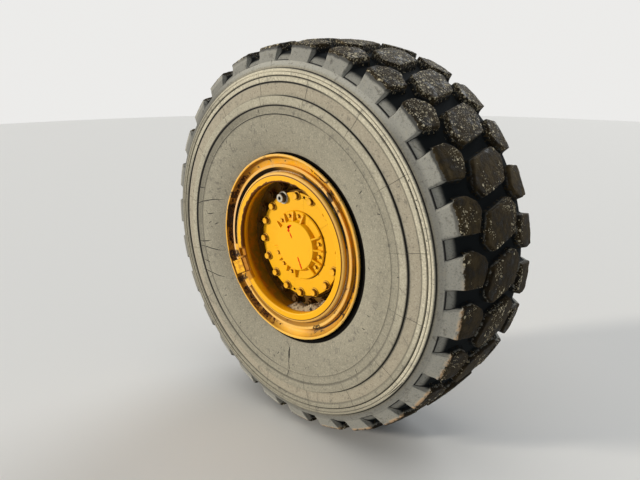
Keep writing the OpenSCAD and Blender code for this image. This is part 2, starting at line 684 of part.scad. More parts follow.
module beam_spring() {
  layer = spring_rubber_t + spring_plate_t;
  side_inset = spring_inset * 0.21;
  color("#2b2b2b") outboard() translate([0, seat_z, seat_at]) rotate([-90, 0, 0]) {
    for (i = [0:spring_layers - 1]) {
      translate([0, 0, i * layer]) spring_layer(spring_inset + 6, side_inset + 6, spring_rubber_t);
      translate([0, 0, i * layer + spring_rubber_t]) spring_layer(spring_inset, side_inset, spring_plate_t);
    }
  }
}

module spring_layer(end_inset, side_inset, height) {
  translate([end_inset - seat_l / 2, side_inset - seat_w / 2, 0])
    cube([seat_l - 2 * end_inset, seat_w - 2 * side_inset, height]);
}

// Two ears for the torque rod's pin with the plate that ties them to the arm's underside
module rod_bracket() {
  waist = arm_waist_d / 2;
  ear_t = 24;
  gap = 66;
  color(worn_yellow) outboard() translate([0, 0, seat_at + 10]) {
    for (z = [-gap / 2 - ear_t, gap / 2]) difference() {
      translate([0, 0, z]) linear_extrude(height = ear_t) union() {
        translate([0, -rod_z]) circle(d = rod_pin_d + 50, $fn = 64);
        polygon([[-rod_pin_d / 2 - 25, -rod_z], [-waist * 0.86, -waist * 0.4], [waist * 0.86, -waist * 0.4],
          [rod_pin_d / 2 + 25, -rod_z]]);
      }
      translate([0, 0, -seat_at - 10]) arm_clear();
      translate([0, -rod_z, -gap]) cylinder(d = rod_pin_d, h = 2 * gap, $fn = 64);
    }
    difference() {
      translate([-70, -waist - 30, -gap / 2 + fit / 2]) cube([140, 40, gap - fit]);
      translate([0, 0, -seat_at - 10]) arm_clear();
    }
  }
}

tyre();
rim_base();
bead_seat_band();
lock_ring();
outer_flange();
inner_flange();
driver_key();
wheel_disc();
wheel_nuts();
valve();
hub();
drive_cover();
cover_bolts();
oil_plug();
carrier_cap();
cap_bolts();
hub_seal();
spindle();
brake_housing();
brake_bolts_row();
brake_ports();
axle_arm();
arm_plugs();
beam_seat();
beam_spring();
rod_bracket();
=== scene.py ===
import random
from math import copysign, cos, pi, radians, sin, sqrt

import bmesh
import bpy
import numpy as np
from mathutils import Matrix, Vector, noise


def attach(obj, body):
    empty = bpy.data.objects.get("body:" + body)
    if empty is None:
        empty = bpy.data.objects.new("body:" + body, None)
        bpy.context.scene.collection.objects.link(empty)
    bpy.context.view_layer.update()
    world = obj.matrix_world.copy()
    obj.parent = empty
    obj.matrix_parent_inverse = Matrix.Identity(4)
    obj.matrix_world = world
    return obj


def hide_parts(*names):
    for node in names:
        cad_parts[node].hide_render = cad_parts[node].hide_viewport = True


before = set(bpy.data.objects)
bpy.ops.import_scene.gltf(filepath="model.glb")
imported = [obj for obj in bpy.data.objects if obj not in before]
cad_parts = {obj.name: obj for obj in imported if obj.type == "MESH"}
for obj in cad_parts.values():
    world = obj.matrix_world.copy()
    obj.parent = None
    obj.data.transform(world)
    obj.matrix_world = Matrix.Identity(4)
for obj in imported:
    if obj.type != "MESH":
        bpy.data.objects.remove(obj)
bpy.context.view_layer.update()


# Axle arm: one hollow steel casting that reaches from the axle's middle casing to the wheel,
# painted machine yellow and spattered with mud that has dried on. Its machined flange is bolted on.
class Value:
    """What a node gives. Values add and multiply like numbers, and | takes the larger of two."""

    def __init__(self, finish, socket):
        self.finish, self.socket = finish, socket

    def other(self, output):
        """Another output of the same node."""
        return Value(self.finish, self.socket.node.outputs[output])

    def math(self, kind, number=0.0):
        return self.finish.node("Math", {0: self, 1: number}, operation=kind)

    def __add__(self, number):
        return self.math("ADD", number)

    def __sub__(self, number):
        return self.math("SUBTRACT", number)

    def __mul__(self, number):
        return self.math("MULTIPLY", number)

    def __truediv__(self, number):
        return self.math("DIVIDE", number)

    def __or__(self, number):
        return self.math("MAXIMUM", number)

    def step(self, low, high, out_low=0.0, out_high=1.0):
        """A soft step from out_low to out_high as the value goes from low to high."""
        levels = dict(enumerate((self, low, high, out_low, out_high)))
        return self.finish.node("MapRange", levels, interpolation_type="SMOOTHSTEP")

    def line(self, middle, half, share=1.0):
        """A narrow band where the value is near a middle one."""
        return (self - middle).math("ABSOLUTE").step(half, half * 0.35, 0.0, share)

    def scaled(self, factor):
        """The same colour, darker or paler."""
        return self.finish.node("VectorMath", {0: self, 3: factor}, operation="SCALE")


class Finish:
    """A surface finish drawn with nodes. Its colour is laid on in coats."""

    def __init__(self, name, roughness=0.6, metallic=0.0, specular=0.5):
        self.material = bpy.data.materials.new(name)
        self.material.use_nodes = True
        self.tree = self.material.node_tree
        self.shader = self.tree.nodes["Principled BSDF"].inputs
        levels = {"Roughness": roughness, "Metallic": metallic, "Specular IOR Level": specular}
        for key, level in levels.items():
            self.shader[key].default_value = level
        self.place = self.node("TexCoord", {}, "Object")

    def feed(self, socket, value):
        if isinstance(value, Value):
            self.tree.links.new(value.socket, socket)
        else:
            socket.default_value = value

    def node(self, kind, inputs, output=0, **settings):
        """Adds a node, feeds its inputs and gives back one of its outputs."""
        made = self.tree.nodes.new("ShaderNode" + kind)
        for key, value in settings.items():
            setattr(made, key, value)
        for key, value in inputs.items():
            self.feed(made.inputs[key], value)
        return Value(self, made.outputs[output])

    def noise(self, scale, detail=4.0, rough=0.55, warp=0.0):
        return self.node("TexNoise", {"Vector": self.place, "Scale": scale, "Detail": detail,
                                      "Roughness": rough, "Distortion": warp})

    def cells(self, scale):
        """How far off the nearest cell's middle is, and two random numbers of that cell."""
        far = self.node("TexVoronoi", {"Vector": self.place, "Scale": scale}, "Distance")
        pick = self.node("SeparateColor", {0: far.other("Color")})
        return far, pick, pick.other(1)

    def along(self, direction):
        """Distance from the frame's origin in one direction."""
        return self.node("VectorMath", {0: self.place, 1: direction}, "Value", operation="DOT_PRODUCT")

    def beside(self, x, z):
        """Distance from a line that runs beside the axle line, through (x, z)."""
        across = self.node("VectorMath", {0: self.place, 1: (1, 0, 1)}, operation="MULTIPLY")
        return self.node("VectorMath", {0: across, 1: (x, 0, z)}, "Value", operation="DISTANCE")

    def radius(self):
        """Distance from the axle line."""
        return self.beside(0, 0)

    def outboard(self):
        """Distance outboard of the wheel's middle."""
        return self.along((0, -1, 0)) + wheel_middle

    def sector(self, start, end, soft=5):
        """1 between two angles round the wheel, in degrees, and 0 elsewhere."""
        middle, half = radians((start + end) / 2), (end - start) / 2
        near = self.along((cos(middle), 0, sin(middle))) / self.radius()
        return near.step(*(cos(radians(a)) for a in (half + soft, max(half - soft, 0))))

    def mark(self, name):
        """A value that the mesh carries at its points."""
        return self.node("Attribute", {}, "Fac", attribute_name=name)

    def edge(self, width):
        """1 along worn outer and inner edges, 0 on flat faces."""
        bevel, flat = self.node("Bevel", {"Radius": width}, samples=6), self.node("NewGeometry", {}, "Normal")
        facing = self.node("VectorMath", {0: bevel, 1: flat}, "Value", operation="DOT_PRODUCT")
        return facing.step(0.985, 0.90)

    def mix(self, share, a, b):
        a, b = (tint if isinstance(tint, Value) else (*tint, 1.0) for tint in (a, b))
        return self.node("Mix", {0: share, 6: a, 7: b}, 2, data_type="RGBA")

    def base(self, share, a, b):
        """The ground colour, between two tints."""
        self.colour = self.mix(share, a, b)

    def coat(self, share, tint):
        """Lays a tint over the colour so far."""
        self.colour = self.mix(share, self.colour, tint)

    def shade(self, factor):
        self.colour = self.colour.scaled(factor)

    def sprayed(self, chips, roughness=None):
        """Closes a sprayed paint, with its orange peel and chips."""
        return self.done(self.noise(900, 2) * 0.12 - chips, 0.0004, 0.7, roughness)

    def done(self, height, depth, strength=1.0, roughness=None, metallic=None):
        """Gives the shader its colour, its bump and what varies over the surface."""
        bump = self.node("Bump", {"Strength": strength, "Distance": depth, "Height": height})
        fed = {"Base Color": self.colour, "Normal": bump, "Roughness": roughness, "Metallic": metallic}
        for key, value in fed.items():
            if value is not None:
                self.feed(self.shader[key], value)
        return self.material


def dress(node, finish, edge, limit=32):
    """Gives a CAD node its finish and, in millimetres, the rounding of its edges."""
    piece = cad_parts[node]
    for slot in piece.material_slots:
        slot.material = finish
    piece.data.shade_smooth()
    weld = piece.modifiers.new("closed corners", "WELD")
    weld.merge_threshold = 2e-5
    round_off = piece.modifiers.new("rounded edges", "BEVEL")
    round_off.width = edge / 1000
    round_off.segments = 2
    round_off.limit_method = "ANGLE"
    round_off.angle_limit = radians(limit)
    normals = piece.modifiers.new("even shading", "WEIGHTED_NORMAL")
    normals.weight = 70


def painted_casting():
    casting = Finish("painted_casting", 0.7)
    grain, patches, spatter = casting.noise(700, 2), casting.noise(9, 6, 0.62), casting.noise(46, 5, 0.7)
    paint = casting.mix(casting.noise(5, 3), (0.56, 0.31, 0.022), (0.70, 0.40, 0.035))
    mud = casting.mix(spatter, (0.12, 0.075, 0.035), (0.38, 0.27, 0.14))
    share = (patches + spatter * 0.45).step(0.66, 0.80)
    casting.base(share, paint, mud)
    casting.coat(casting.edge(0.004) * spatter.step(0.42, 0.56), (0.16, 0.062, 0.022))
    return casting.done(share * spatter + grain * 0.3, 0.0016, 0.8, share.step(0, 1, 0.5, 0.9))


casting_finish = painted_casting()
dress("axle_arm", casting_finish, 2.0)


# Plugs of the arm: the oil level plug and the breather, plated steel turned from hexagon bar
# and screwed into bosses, dull and brown at the roots from road dirt.
def worn_steel(name, bright, dirt, amount=0.5):
    steel = Finish(name, 0.45, 0.85)
    share = steel.noise(38, 6, 0.65).step(0.62 - amount * 0.35, 0.72 - amount * 0.2)
    steel.base(share, bright, dirt)
    rough, metallic = share.step(0, 1, 0.34, 0.85), share.step(0, 1, 0.9, 0.1)
    return steel.done(steel.noise(420, 3), 0.0004, 0.6, rough, metallic)


plated_finish = worn_steel("plated_steel", (0.46, 0.43, 0.38), (0.16, 0.105, 0.065))
dress("arm_plugs", plated_finish, 0.6)

# Beam seat and torque rod bracket: steel castings clamped and welded to the arm under and over it.
# They carry the bogie beam's spring and the rod's pin, in the same paint and mud as the arm.
dress("beam_seat", casting_finish, 2.0)
dress("rod_bracket", casting_finish, 2.0)


# Beam spring: layers of black rubber vulcanised between steel plates, dusty on every ledge.
# It is bolted down through the seat and flexes under the load of the beam.
def spring_finish():
    rubber = Finish("spring_rubber_and_plates", 0.75)
    rubber.base(rubber.noise(30, 5, 0.6).step(0.44, 0.68), (0.02, 0.02, 0.021), (0.20, 0.16, 0.115))
    return rubber.done(rubber.noise(240, 3), 0.0006, 0.5)


dress("beam_spring", spring_finish(), 1.2)

# Spindle: forged and ground steel tube that carries the hub's bearings, with a film of oil.
# It is pressed and bolted into the end of the arm, and only its bore and root can be seen.
dress("spindle", worn_steel("ground_steel", (0.52, 0.50, 0.46), (0.22, 0.17, 0.12), 0.2), 1.0)

# Brake housing: ribbed casting round the wet disc brake, bolted to the arm by a row of hexagon
# screws, with the hose and bleed ports on its upper side.
dress("brake_housing", casting_finish, 1.6)
dress("brake_bolts_row", plated_finish, 0.8)
dress("brake_ports", plated_finish, 0.5)


# Hub seal: pressed steel dirt shield and face seal that stand still on the brake housing.
# They are black with old oil and road dirt.
def sealed_rubber():
    seal = Finish("oily_seal", 0.5)
    seal.base(seal.noise(26, 5, 0.6), (0.02, 0.018, 0.016), (0.10, 0.08, 0.06))
    return seal.done(seal.noise(300, 3), 0.0005, 0.5)


dress("hub_seal", sealed_rubber(), 0.8)


# Hub drum, wheel disc and nuts: cast planetary hub with the rim's welded disc bolted to its flange.
# All are in machine yellow under a dark dusty coat: brake dust and mud, and painted shade deep in the barrel.
def machine_paint(name, dust_and_shade_share, rust_share, dust_and_shade_colour):
    paint = Finish(name, 0.5, specular=0.2)
    paint.base(paint.noise(7, 4, 0.6), (0.86, 0.425, 0.0005), (0.93, 0.475, 0.001))
    # The dusty coat is dust, and where it is heavy it is painted shade as well
    dusty = paint.noise(24, 6, 0.68, 0.4).step(0.70 - dust_and_shade_share * 0.35, 0.92 - dust_and_shade_share * 0.25)
    paint.coat(dusty * min(0.95, 0.4 + dust_and_shade_share / 4), dust_and_shade_colour)
    chip = paint.edge(0.0035) * 0.55 + paint.noise(190, 4, 0.6) * 0.75
    chip = chip.step(0.93 - rust_share * 0.3, 0.97 - rust_share * 0.3)
    paint.coat(chip, (0.20, 0.075, 0.018))
    return paint.sprayed(chip, dusty.step(0, 1, 0.34, 0.72) + chip * 0.2)


# The hub, disc and nuts are darkened nearly all over, partly by dust and partly as painted shade deep in the
# barrel
disc_paint_and_shade = machine_paint("disc_paint_and_shade", 2.2, 0.4, (0.13, 0.062, 0.006))
dress("hub", disc_paint_and_shade, 1.5)
dress("wheel_disc", disc_paint_and_shade, 1.5)
dress("wheel_nuts", machine_paint("nut_paint_and_shade", 2.2, 0.8, (0.060, 0.028, 0.005)), 0.8)


# Rim base and inner flange: rolled steel barrel with a fixed bead seat and a loose flange inboard,
# and the gutter section at its open end. Its paint is chipped where the lock ring is levered in.
wheel_middle = -0.700


def barrel_paint():
    paint = Finish("barrel_paint", 0.5, specular=0.2)
    radius, outboard = paint.radius(), paint.outboard()
    film, fine = paint.noise(24, 6, 0.68, 0.4), paint.noise(110, 5, 0.7)
    paint.base(paint.noise(7, 4, 0.6), (0.86, 0.415, 0.0005), (0.93, 0.47, 0.001))
    # Brake dust and old mud, with painted shade, darken the barrel behind its mouth
    grime_and_shade = (outboard + film * 0.03).step(0.288, 0.258) * outboard.step(-0.22, -0.12)
    paint.coat(grime_and_shade, paint.mix(film.step(0.40, 0.60), (0.56, 0.19, 0.003), (0.34, 0.165, 0.008)))
    # On the gutter's lip the paint has cracked where the face meets the chamfer, and the chamfer is painted
    # paler: a painted highlight
    paint.coat(radius.step(0.2985, 0.3005) * outboard.step(0.268, 0.273) * 0.7, (0.84, 0.52, 0.16))
    cracked = paint.mix(outboard.step(0.276, 0.279), paint.colour, (0.13, 0.04, 0.004))
    paint.coat(radius.line(0.2978, 0.0029), cracked)
    # On the left the lip's inner edge is painted dark with a ragged border: painted shade from the barrel's
    # inside
    ragged_shade_edge = (radius + (film - 0.5) * 0.022).step(0.2782, 0.2762)
    paint.coat(outboard.step(0.262, 0.270) * ragged_shade_edge * paint.sector(62, 205, 14), (0.13, 0.040, 0.003))
    # The gutter's key slots are painted darker and their edges dark: painted shade
    slot_shade = paint.sector(190.5, 220.5, 1) * radius.step(0.3035, 0.3020) * outboard.step(0.266, 0.269)
    paint.coat(slot_shade * 0.8, (0.42, 0.15, 0.006))
    chips = (paint.edge(0.0025) * 0.4 + fine).step(0.78, 0.84) | slot_shade * paint.edge(0.003)
    paint.coat(chips, (0.07, 0.022, 0.004))
    return paint.sprayed(chips)


rim_paint = barrel_paint()
dress("rim_base", rim_paint, 1.0, 20)
dress("inner_flange", machine_paint("inner_paint", 1.0, 0.6, (0.42, 0.26, 0.09)), 1.5)


# Tyre carcass: moulded rubber over steel cords, from the beads to the floor of the tread grooves.
# The outboard side shows the mould's rings, a scuff rib at the widest point and a double rib.
def across_wheel(x, outboard, z):
    """A point in metres, from millimetres across the wheel, outboard of its middle and up."""
    return x / 1000, wheel_middle - outboard / 1000, z / 1000


def from_wheel(outboard, radius, angle):
    """A point in metres, from millimetres outboard of the wheel's middle and radians round it."""
    return across_wheel(radius * cos(angle), outboard, radius * sin(angle))


def arc(s0, r0, radius, start, end, steps):
    """A part of a circle in the rim's section, about (s0, r0), between two angles in degrees."""
    return [(s0 - radius * cos(radians(a)), r0 + radius * sin(radians(a)))
            for a in np.linspace(start, end, steps)]


def eased(points, default=0.0):
    """A section line with its corners rounded off. A third number gives a corner its own size."""
    out = []
    for i, point in enumerate(points):
        here = np.array(point[:2], float)
        size = point[2] if len(point) > 2 else default
        if size <= 0 or i in (0, len(points) - 1):
            out.append(tuple(here))
            continue
        sides = [np.array(points[j][:2], float) - here for j in (i - 1, i + 1)]
        a, b = (here + side * min(size / np.linalg.norm(side), 0.45) for side in sides)
        for q in (0, 0.3, 0.7, 1):
            out.append(tuple((1 - q) ** 2 * a + 2 * q * (1 - q) * here + q * q * b))
    return out


def placed(name, data):
    thing = bpy.data.objects.new(name, data)
    bpy.context.scene.collection.objects.link(thing)
    return thing


def new_piece(name, points, faces, finish, slot, sharp=32):
    """A closed mesh that rides on the wheel."""
    mesh = bpy.data.meshes.new(name)
    mesh.from_pydata([tuple(p) for p in points], [], faces)
    mesh.validate()
    mesh.shade_smooth()
    fix = bmesh.new()
    fix.from_mesh(mesh)
    bmesh.ops.recalc_face_normals(fix, faces=fix.faces)
    fix.to_mesh(mesh)
    fix.free()
    if sharp:
        mesh.set_sharp_from_angle(angle=radians(sharp))
    mesh.materials.append(finish)
    piece = placed(name, mesh)
    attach(piece, "wheel")
    return piece


def carry(piece, name, values):
    """Stores one value a point on the mesh, for its finish to read."""
    stored = piece.data.attributes.new(name, "FLOAT", "POINT").data
    stored.foreach_set("value", np.asarray(values, np.float32))


def skin(first, rings, count, whole=False):
    """Faces over rings of count points each. The ends are closed unless the rings run whole round."""
    faces = []
    for k in range(rings if whole else rings - 1):
        a, b = first + k * count, first + (k + 1) % rings * count
        faces += [(a + j, a + (j + 1) % count, b + (j + 1) % count, b + j) for j in range(count)]
    if not whole:
        faces += [tuple(range(end, end + count)) for end in (first, first + (rings - 1) * count)]
    return faces


def turned(name, section, finish, slot, steps, start=0.0, sweep=360.0, lumps=lambda s, r, angle: (s, r),
           **looks):
    """A closed section turned round the axle line. lumps moves each point of it in and out."""
    whole = sweep >= 360
    turns = steps if whole else steps + 1
    points = []
    for k in range(turns):
        angle = radians(start + sweep * k / steps)
        points += [from_wheel(*lumps(s, r, angle), angle) for s, r in section]
    return new_piece(name, points, skin(0, turns, len(section), whole), finish, slot, **looks)


def tyre_rubber():
    rubber = Finish("tyre_rubber", 0.85)
    radius, mud_mark = rubber.radius(), rubber.mark("mud")
    smear, scuffs = rubber.noise(34, 6, 0.68, 0.6), rubber.noise(170, 6, 0.75)
    # Road dust has settled on the sidewall, most of all in its hollow between the ribs
    rubber.base(rubber.noise(6, 5, 0.6), (0.245, 0.225, 0.170), (0.315, 0.289, 0.217))
    rubber.coat(radius.step(0.6025, 0.610) * radius.step(0.649, 0.643) * 0.75, (0.37, 0.322, 0.240))
    rubber.coat(radius.step(0.700, 0.716) * 0.8, (0.405, 0.40, 0.36))
    rubber.coat(smear.step(0.56, 0.74, 0.0, 0.35), (0.44, 0.39, 0.29))
    rubber.coat(smear.step(0.46, 0.30, 0.0, 0.75), (0.12, 0.11, 0.09))
    rubber.coat(scuffs.step(0.52, 0.70, 0.0, 0.8), (0.48, 0.44, 0.34))
    rubber.coat(scuffs.step(0.47, 0.30, 0.0, 0.8), (0.09, 0.08, 0.065))
    # The mould's narrow creases are painted dark, most of all in the sectors where they lie in shade: dirt
    # and painted shade. The gap behind the flange's lip is painted black: a painted shadow of the lip
    left, right = (74, 262, 12), (-78, 92, 12)
    for middle, half, share, side in (
            (0.5325, 0.0030, 1.0, left), (0.5650, 0.0044, 1.0, (60, 222, 14)),
            (0.5666, 0.0070, 1.0, (122, 196, 20)), (0.6013, 0.0026, 1.0, right),
            (0.6498, 0.0054, 1.0, (72, 200, 16)), (0.6725, 0.0022, 1.0, None),
            (0.6873, 0.0017, 0.7, right), (0.7002, 0.0026, 1.0, right)):
        crease_shade = radius.line(middle, half, share)
        if side:
            crease_shade = crease_shade * rubber.sector(*side).step(0, 1, 0.3, 1.0)
        rubber.coat(crease_shade, (0.006, 0.005, 0.004))
    # Painted shadow of the flange's lip, black, in the gap behind it
    gap_shadow = rubber.beside(0.011, -0.004).step(0.3935, 0.3905)
    rubber.coat(gap_shadow, (0.003, 0.0025, 0.002))
    # The ribs that stand proud are painted paler, and some bands of the sidewall and the lugs darker, each in
    # its own sector: painted light and shade. The foot of the shoulder stays dark
    for inner, outer, start, end, more in (
            (0.566, 0.600, -20, 200, 0.36), (0.652, 0.670, -20, 150, 0.72), (0.675, 0.698, -40, 122, 0.95),
            (0.726, 0.900, 62, 232, -0.34), (0.536, 0.562, 112, 190, -0.32), (0.648, 0.662, 165, 232, -0.5),
            (0.703, 0.760, 112, 262, -0.30), (0.726, 0.900, -100, 12, -0.14), (0.726, 0.900, -90, 58, -0.14)):
        band = radius.step(inner - 0.002, inner + 0.002) * radius.step(outer + 0.002, outer - 0.002)
        rubber.shade((band * rubber.sector(start, end, 22)).step(0, 1, 1.0, 1.0 + more))
    foot = radius.step(0.7005, 0.7015) * radius.step(0.742, 0.714)
    rubber.shade((foot * rubber.sector(58, 112, 26).step(0, 1, 1.0, 0.15)).step(0, 1, 1.0, 0.50))
    rubber.coat(mud_mark.step(0.02, 0.30) * smear.step(0.40, 0.56) * 0.55, (0.46, 0.43, 0.35))
    # On the upper lugs the corner beside the mud is wet and dark
    wet_edge = (radius.step(0.758, 0.784) + smear * 1.1).step(0.80, 1.25) * rubber.sector(14, 112, 16)
    rubber.coat(wet_edge * 0.92, (0.036, 0.036, 0.034))
    # Deep in the grooves, along the ledges' inner edge and at the foot of the lug walls the rubber is painted
    # black: painted shade, with a cool painted reflection in the grooves
    rubber.coat(rubber.mark("crease_shade").step(0.35, 0.85), (0.005, 0.0045, 0.004))
    groove_shade = (rubber.mark("groove_shade") + smear * 0.3).step(0.28, 0.85)
    rubber.coat(groove_shade, (0.011, 0.013, 0.014))
    # Mud with grit in it is pressed onto the tops of the lugs
    muddy = (mud_mark + (rubber.noise(70, 5, 0.7) - 0.5) * 1.3).step(0.42, 0.56)
    wet = rubber.noise(22, 5, 0.65)
    mud = rubber.mix(wet.step(0.34, 0.66), (0.010, 0.007, 0.003), (0.080, 0.056, 0.024))
    newest = rubber.sector(36, 118, 14) * rubber.noise(19, 3).step(0.34, 0.50, 0.5, 1.0)
    gravelly = rubber.noise(9, 3, 0.5).step(0.44, 0.60, 0.2, 0.95) | newest * 1.35
    mud = rubber.mix(newest * 0.6, mud, (0.012, 0.009, 0.005))
    # The mud on the lugs at the bottom and on the right is painted darker: painted shade
    mud = mud.scaled(rubber.sector(-130, 14, 24).step(0, 1, 1.0, 0.55))
    raised = rubber.noise(120, 4)
    for scale, taken in ((75, 0.60), (190, 0.56)):
        far, pick, tint = rubber.cells(scale)
        stone = far.step(0.46, 0.30) * (pick * gravelly).step(taken, taken + 0.05)
        mud = rubber.mix(stone, mud, rubber.mix(tint, (0.20, 0.155, 0.085), (0.85, 0.75, 0.52)))
        raised = raised + stone
    rubber.coat(muddy, mud)
    # On the lower lugs fresh clay clings to the corner between face and top
    clay = mud_mark.step(0.10, 0.34) * mud_mark.step(0.86, 0.62) * smear.step(0.44, 0.56)
    clay = clay * rubber.outboard().step(0.222, 0.236) * rubber.sector(-80, -4, 14)
    rubber.coat(clay, (0.50, 0.34, 0.20))
    dull = gap_shadow | groove_shade | muddy * 0.7
    rubber.feed(rubber.shader["Specular IOR Level"], dull.step(0, 1, 0.4, 0.05))
    rough = muddy.step(0, 1, 0.88, 0.76) - muddy * wet.step(0.50, 0.32, 0.0, 0.30)
    return rubber.done(rubber.noise(480, 4, 0.6) * 0.2 + muddy * raised, 0.0034, 0.85, rough)


rubber_finish = tyre_rubber()
curl_s, curl_r, curl = 285.5, 343.0, 38.4
wall = [(247.0, 317.7)] + arc(curl_s, curl_r, curl, 0, 48, 9)
leave = wall[-1]
wall += [(leave[0] + (291.5 - leave[0]) * sin(pi / 2 * q), leave[1] + 127.0 * q)
         for q in np.linspace(0.06, 1, 18)]
side_section = wall + eased([
    (291.6, 518), (291.6, 527.6), (292.8, 528.8, 0.6), (292.9, 532, 0.6), (291.9, 533.6), (292.6, 545),
    (292.9, 556), (292.9, 563.4, 1.0), (295.7, 565.4, 1.0), (296.6, 570), (296.6, 582), (296.6, 594),
    (296.2, 598, 1.2), (292.8, 600.2, 1.2), (288.2, 601.2, 1.0), (286.6, 604, 2), (285.2, 616), (284, 628),
    (283.2, 640), (282.3, 646), (281.4, 649.6, 0.8), (284.4, 651.8, 0.8), (284.8, 658), (284.4, 668.6, 0.7),
    (279.6, 670.6, 1), (279.4, 674.4, 1), (283.9, 676.4, 0.7), (283.9, 682), (283.5, 685.2, 0.5),
    (281.6, 686.2, 0.5), (281.6, 688.6, 0.5), (283.3, 689.6, 0.5), (282.8, 694), (281.8, 697, 1),
    (276.4, 698.8, 1), (273.6, 700.2, 1.2), (272.6, 706), (270, 715), (265.4, 725.3, 0.3)])
groove_section = eased([(265.4, 725.3), (258.6, 727.3, 2.0), (252.0, 733, 4), (241.0, 743.1, 8),
                        (220, 757.0, 8), (171.4, 765.5, 8), (107, 771.5), (60, 773.8), (0, 774.5)])
outside = side_section + groove_section[1:]
chamber = [(191.5, 317.6), (199.5, 347.5)]
chamber += [(261.5 * cos(a), 563.0 + 225.9 * sin(a)) for a in np.radians([-42, -30, -18, -6])]
chamber += [(261.5 * cos(a) ** 0.8, 563.0 + 169.5 * sin(a)) for a in np.radians(range(0, 85, 12))]
chamber += [(0, 732.5)]
carcass_section = outside + [(-s, r) for s, r in outside[-2::-1] + chamber] + chamber[-2::-1]


def uneven(s, r, angle):
    """The slight waviness of a moulded and inflated sidewall."""
    if r < 400:
        return s, r
    sway = noise.noise((2.2 * cos(angle), 2.2 * sin(angle), r / 90)) * 0.5
    return s + copysign(sway, s), r


steps_round = 384
carcass = turned("tyre_carcass", carcass_section, rubber_finish, "tyre", steps_round, lumps=uneven, sharp=40)
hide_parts("tyre")
# Painted shade: how deep each point lies in the groove, and the line along the ledges' inner edge
groove_shade_values = [float(np.interp(r, (0, 734.0, 744.0, 755.0, 764.0), (0, 0, 0.3, 0.8, 1.0))) * (abs(s) < 266)
          for s, r in carcass_section]
crease_shade_values = [float(256.6 < abs(s) < 260.6 and r > 700) for s, r in carcass_section]
for mark, values in (("groove_shade", groove_shade_values), ("mud", [0.16 * d for d in groove_shade_values]), ("crease_shade", crease_shade_values)):
    carry(carcass, mark, values * steps_round)


# Tread lugs: 27 pitches of shoulder lug, slanted centre block and opposite shoulder lug, moulded
# in one with the carcass, with drafted walls, edges rounded by wear, and mud on their tops.
def tread_line():
    """The lugs' outer surface from the middle down to the foot of the shoulder, at every millimetre."""
    crown, half_width, drop = 808.5, 230.0, 19.0
    bend = (half_width ** 2 + drop ** 2) / (2 * drop)
    points = [(s, crown - bend + sqrt(bend * bend - s * s)) for s in range(0, 226, 5)]
    points += [(half_width, 789.2, 5), (238.6, 783.0, 9), (265.6, 725.3), (279.1, 696.7)]
    points = np.array(eased(points))
    run = np.concatenate([[0], np.cumsum(np.hypot(*np.diff(points, axis=0).T))])
    even = np.arange(0, run[-1], 1.0)
    return even, np.interp(even, run, points[:, 0]), np.interp(even, run, points[:, 1])


run_t, run_s, run_r = tread_line()
run_ds, run_dr = np.gradient(run_s), np.gradient(run_r)
floor_line = np.array(groove_section)
floor_line = np.concatenate([np.linspace(a, b, 12) for a, b in zip(floor_line[:-1], floor_line[1:])])
run_depth = np.array([np.hypot(*(floor_line - at).T).min() for at in zip(run_s, run_r)])
notch_t, corner_t = (float(np.interp(-r, -run_r, run_t)) for r in (725.3, 784.5))


def on_tread(x, t, depth, side, centre):
    """Points of a lug, from millimetres round the tyre, along the tread's section and under its face."""
    at = np.abs(t)
    s, r = np.interp(at, run_t, run_s), np.interp(at, run_t, run_r)
    ds, dr = np.interp(at, run_t, run_ds), np.interp(at, run_t, run_dr)
    slope = np.hypot(ds, dr)
    s, r = (s + depth * dr / slope) * np.sign(t), r - depth * ds / slope
    angle = centre + np.arcsin(side * x / r)
    return np.stack(across_wheel(r * np.cos(angle), side * s, r * np.sin(angle)), 1)


def border(grid):
    """What lies round the edge of a grid, in turn."""
    return np.concatenate([grid[0], grid[1:, -1], grid[-1, -2::-1], grid[-2:0:-1, 0]])


def over(grid):
    """Faces over a grid of point numbers."""
    return np.stack([grid[:-1, :-1], grid[:-1, 1:], grid[1:, 1:], grid[1:, :-1]], 2).reshape(-1, 4).tolist()


pitches, first_pitch = 27, 5.9


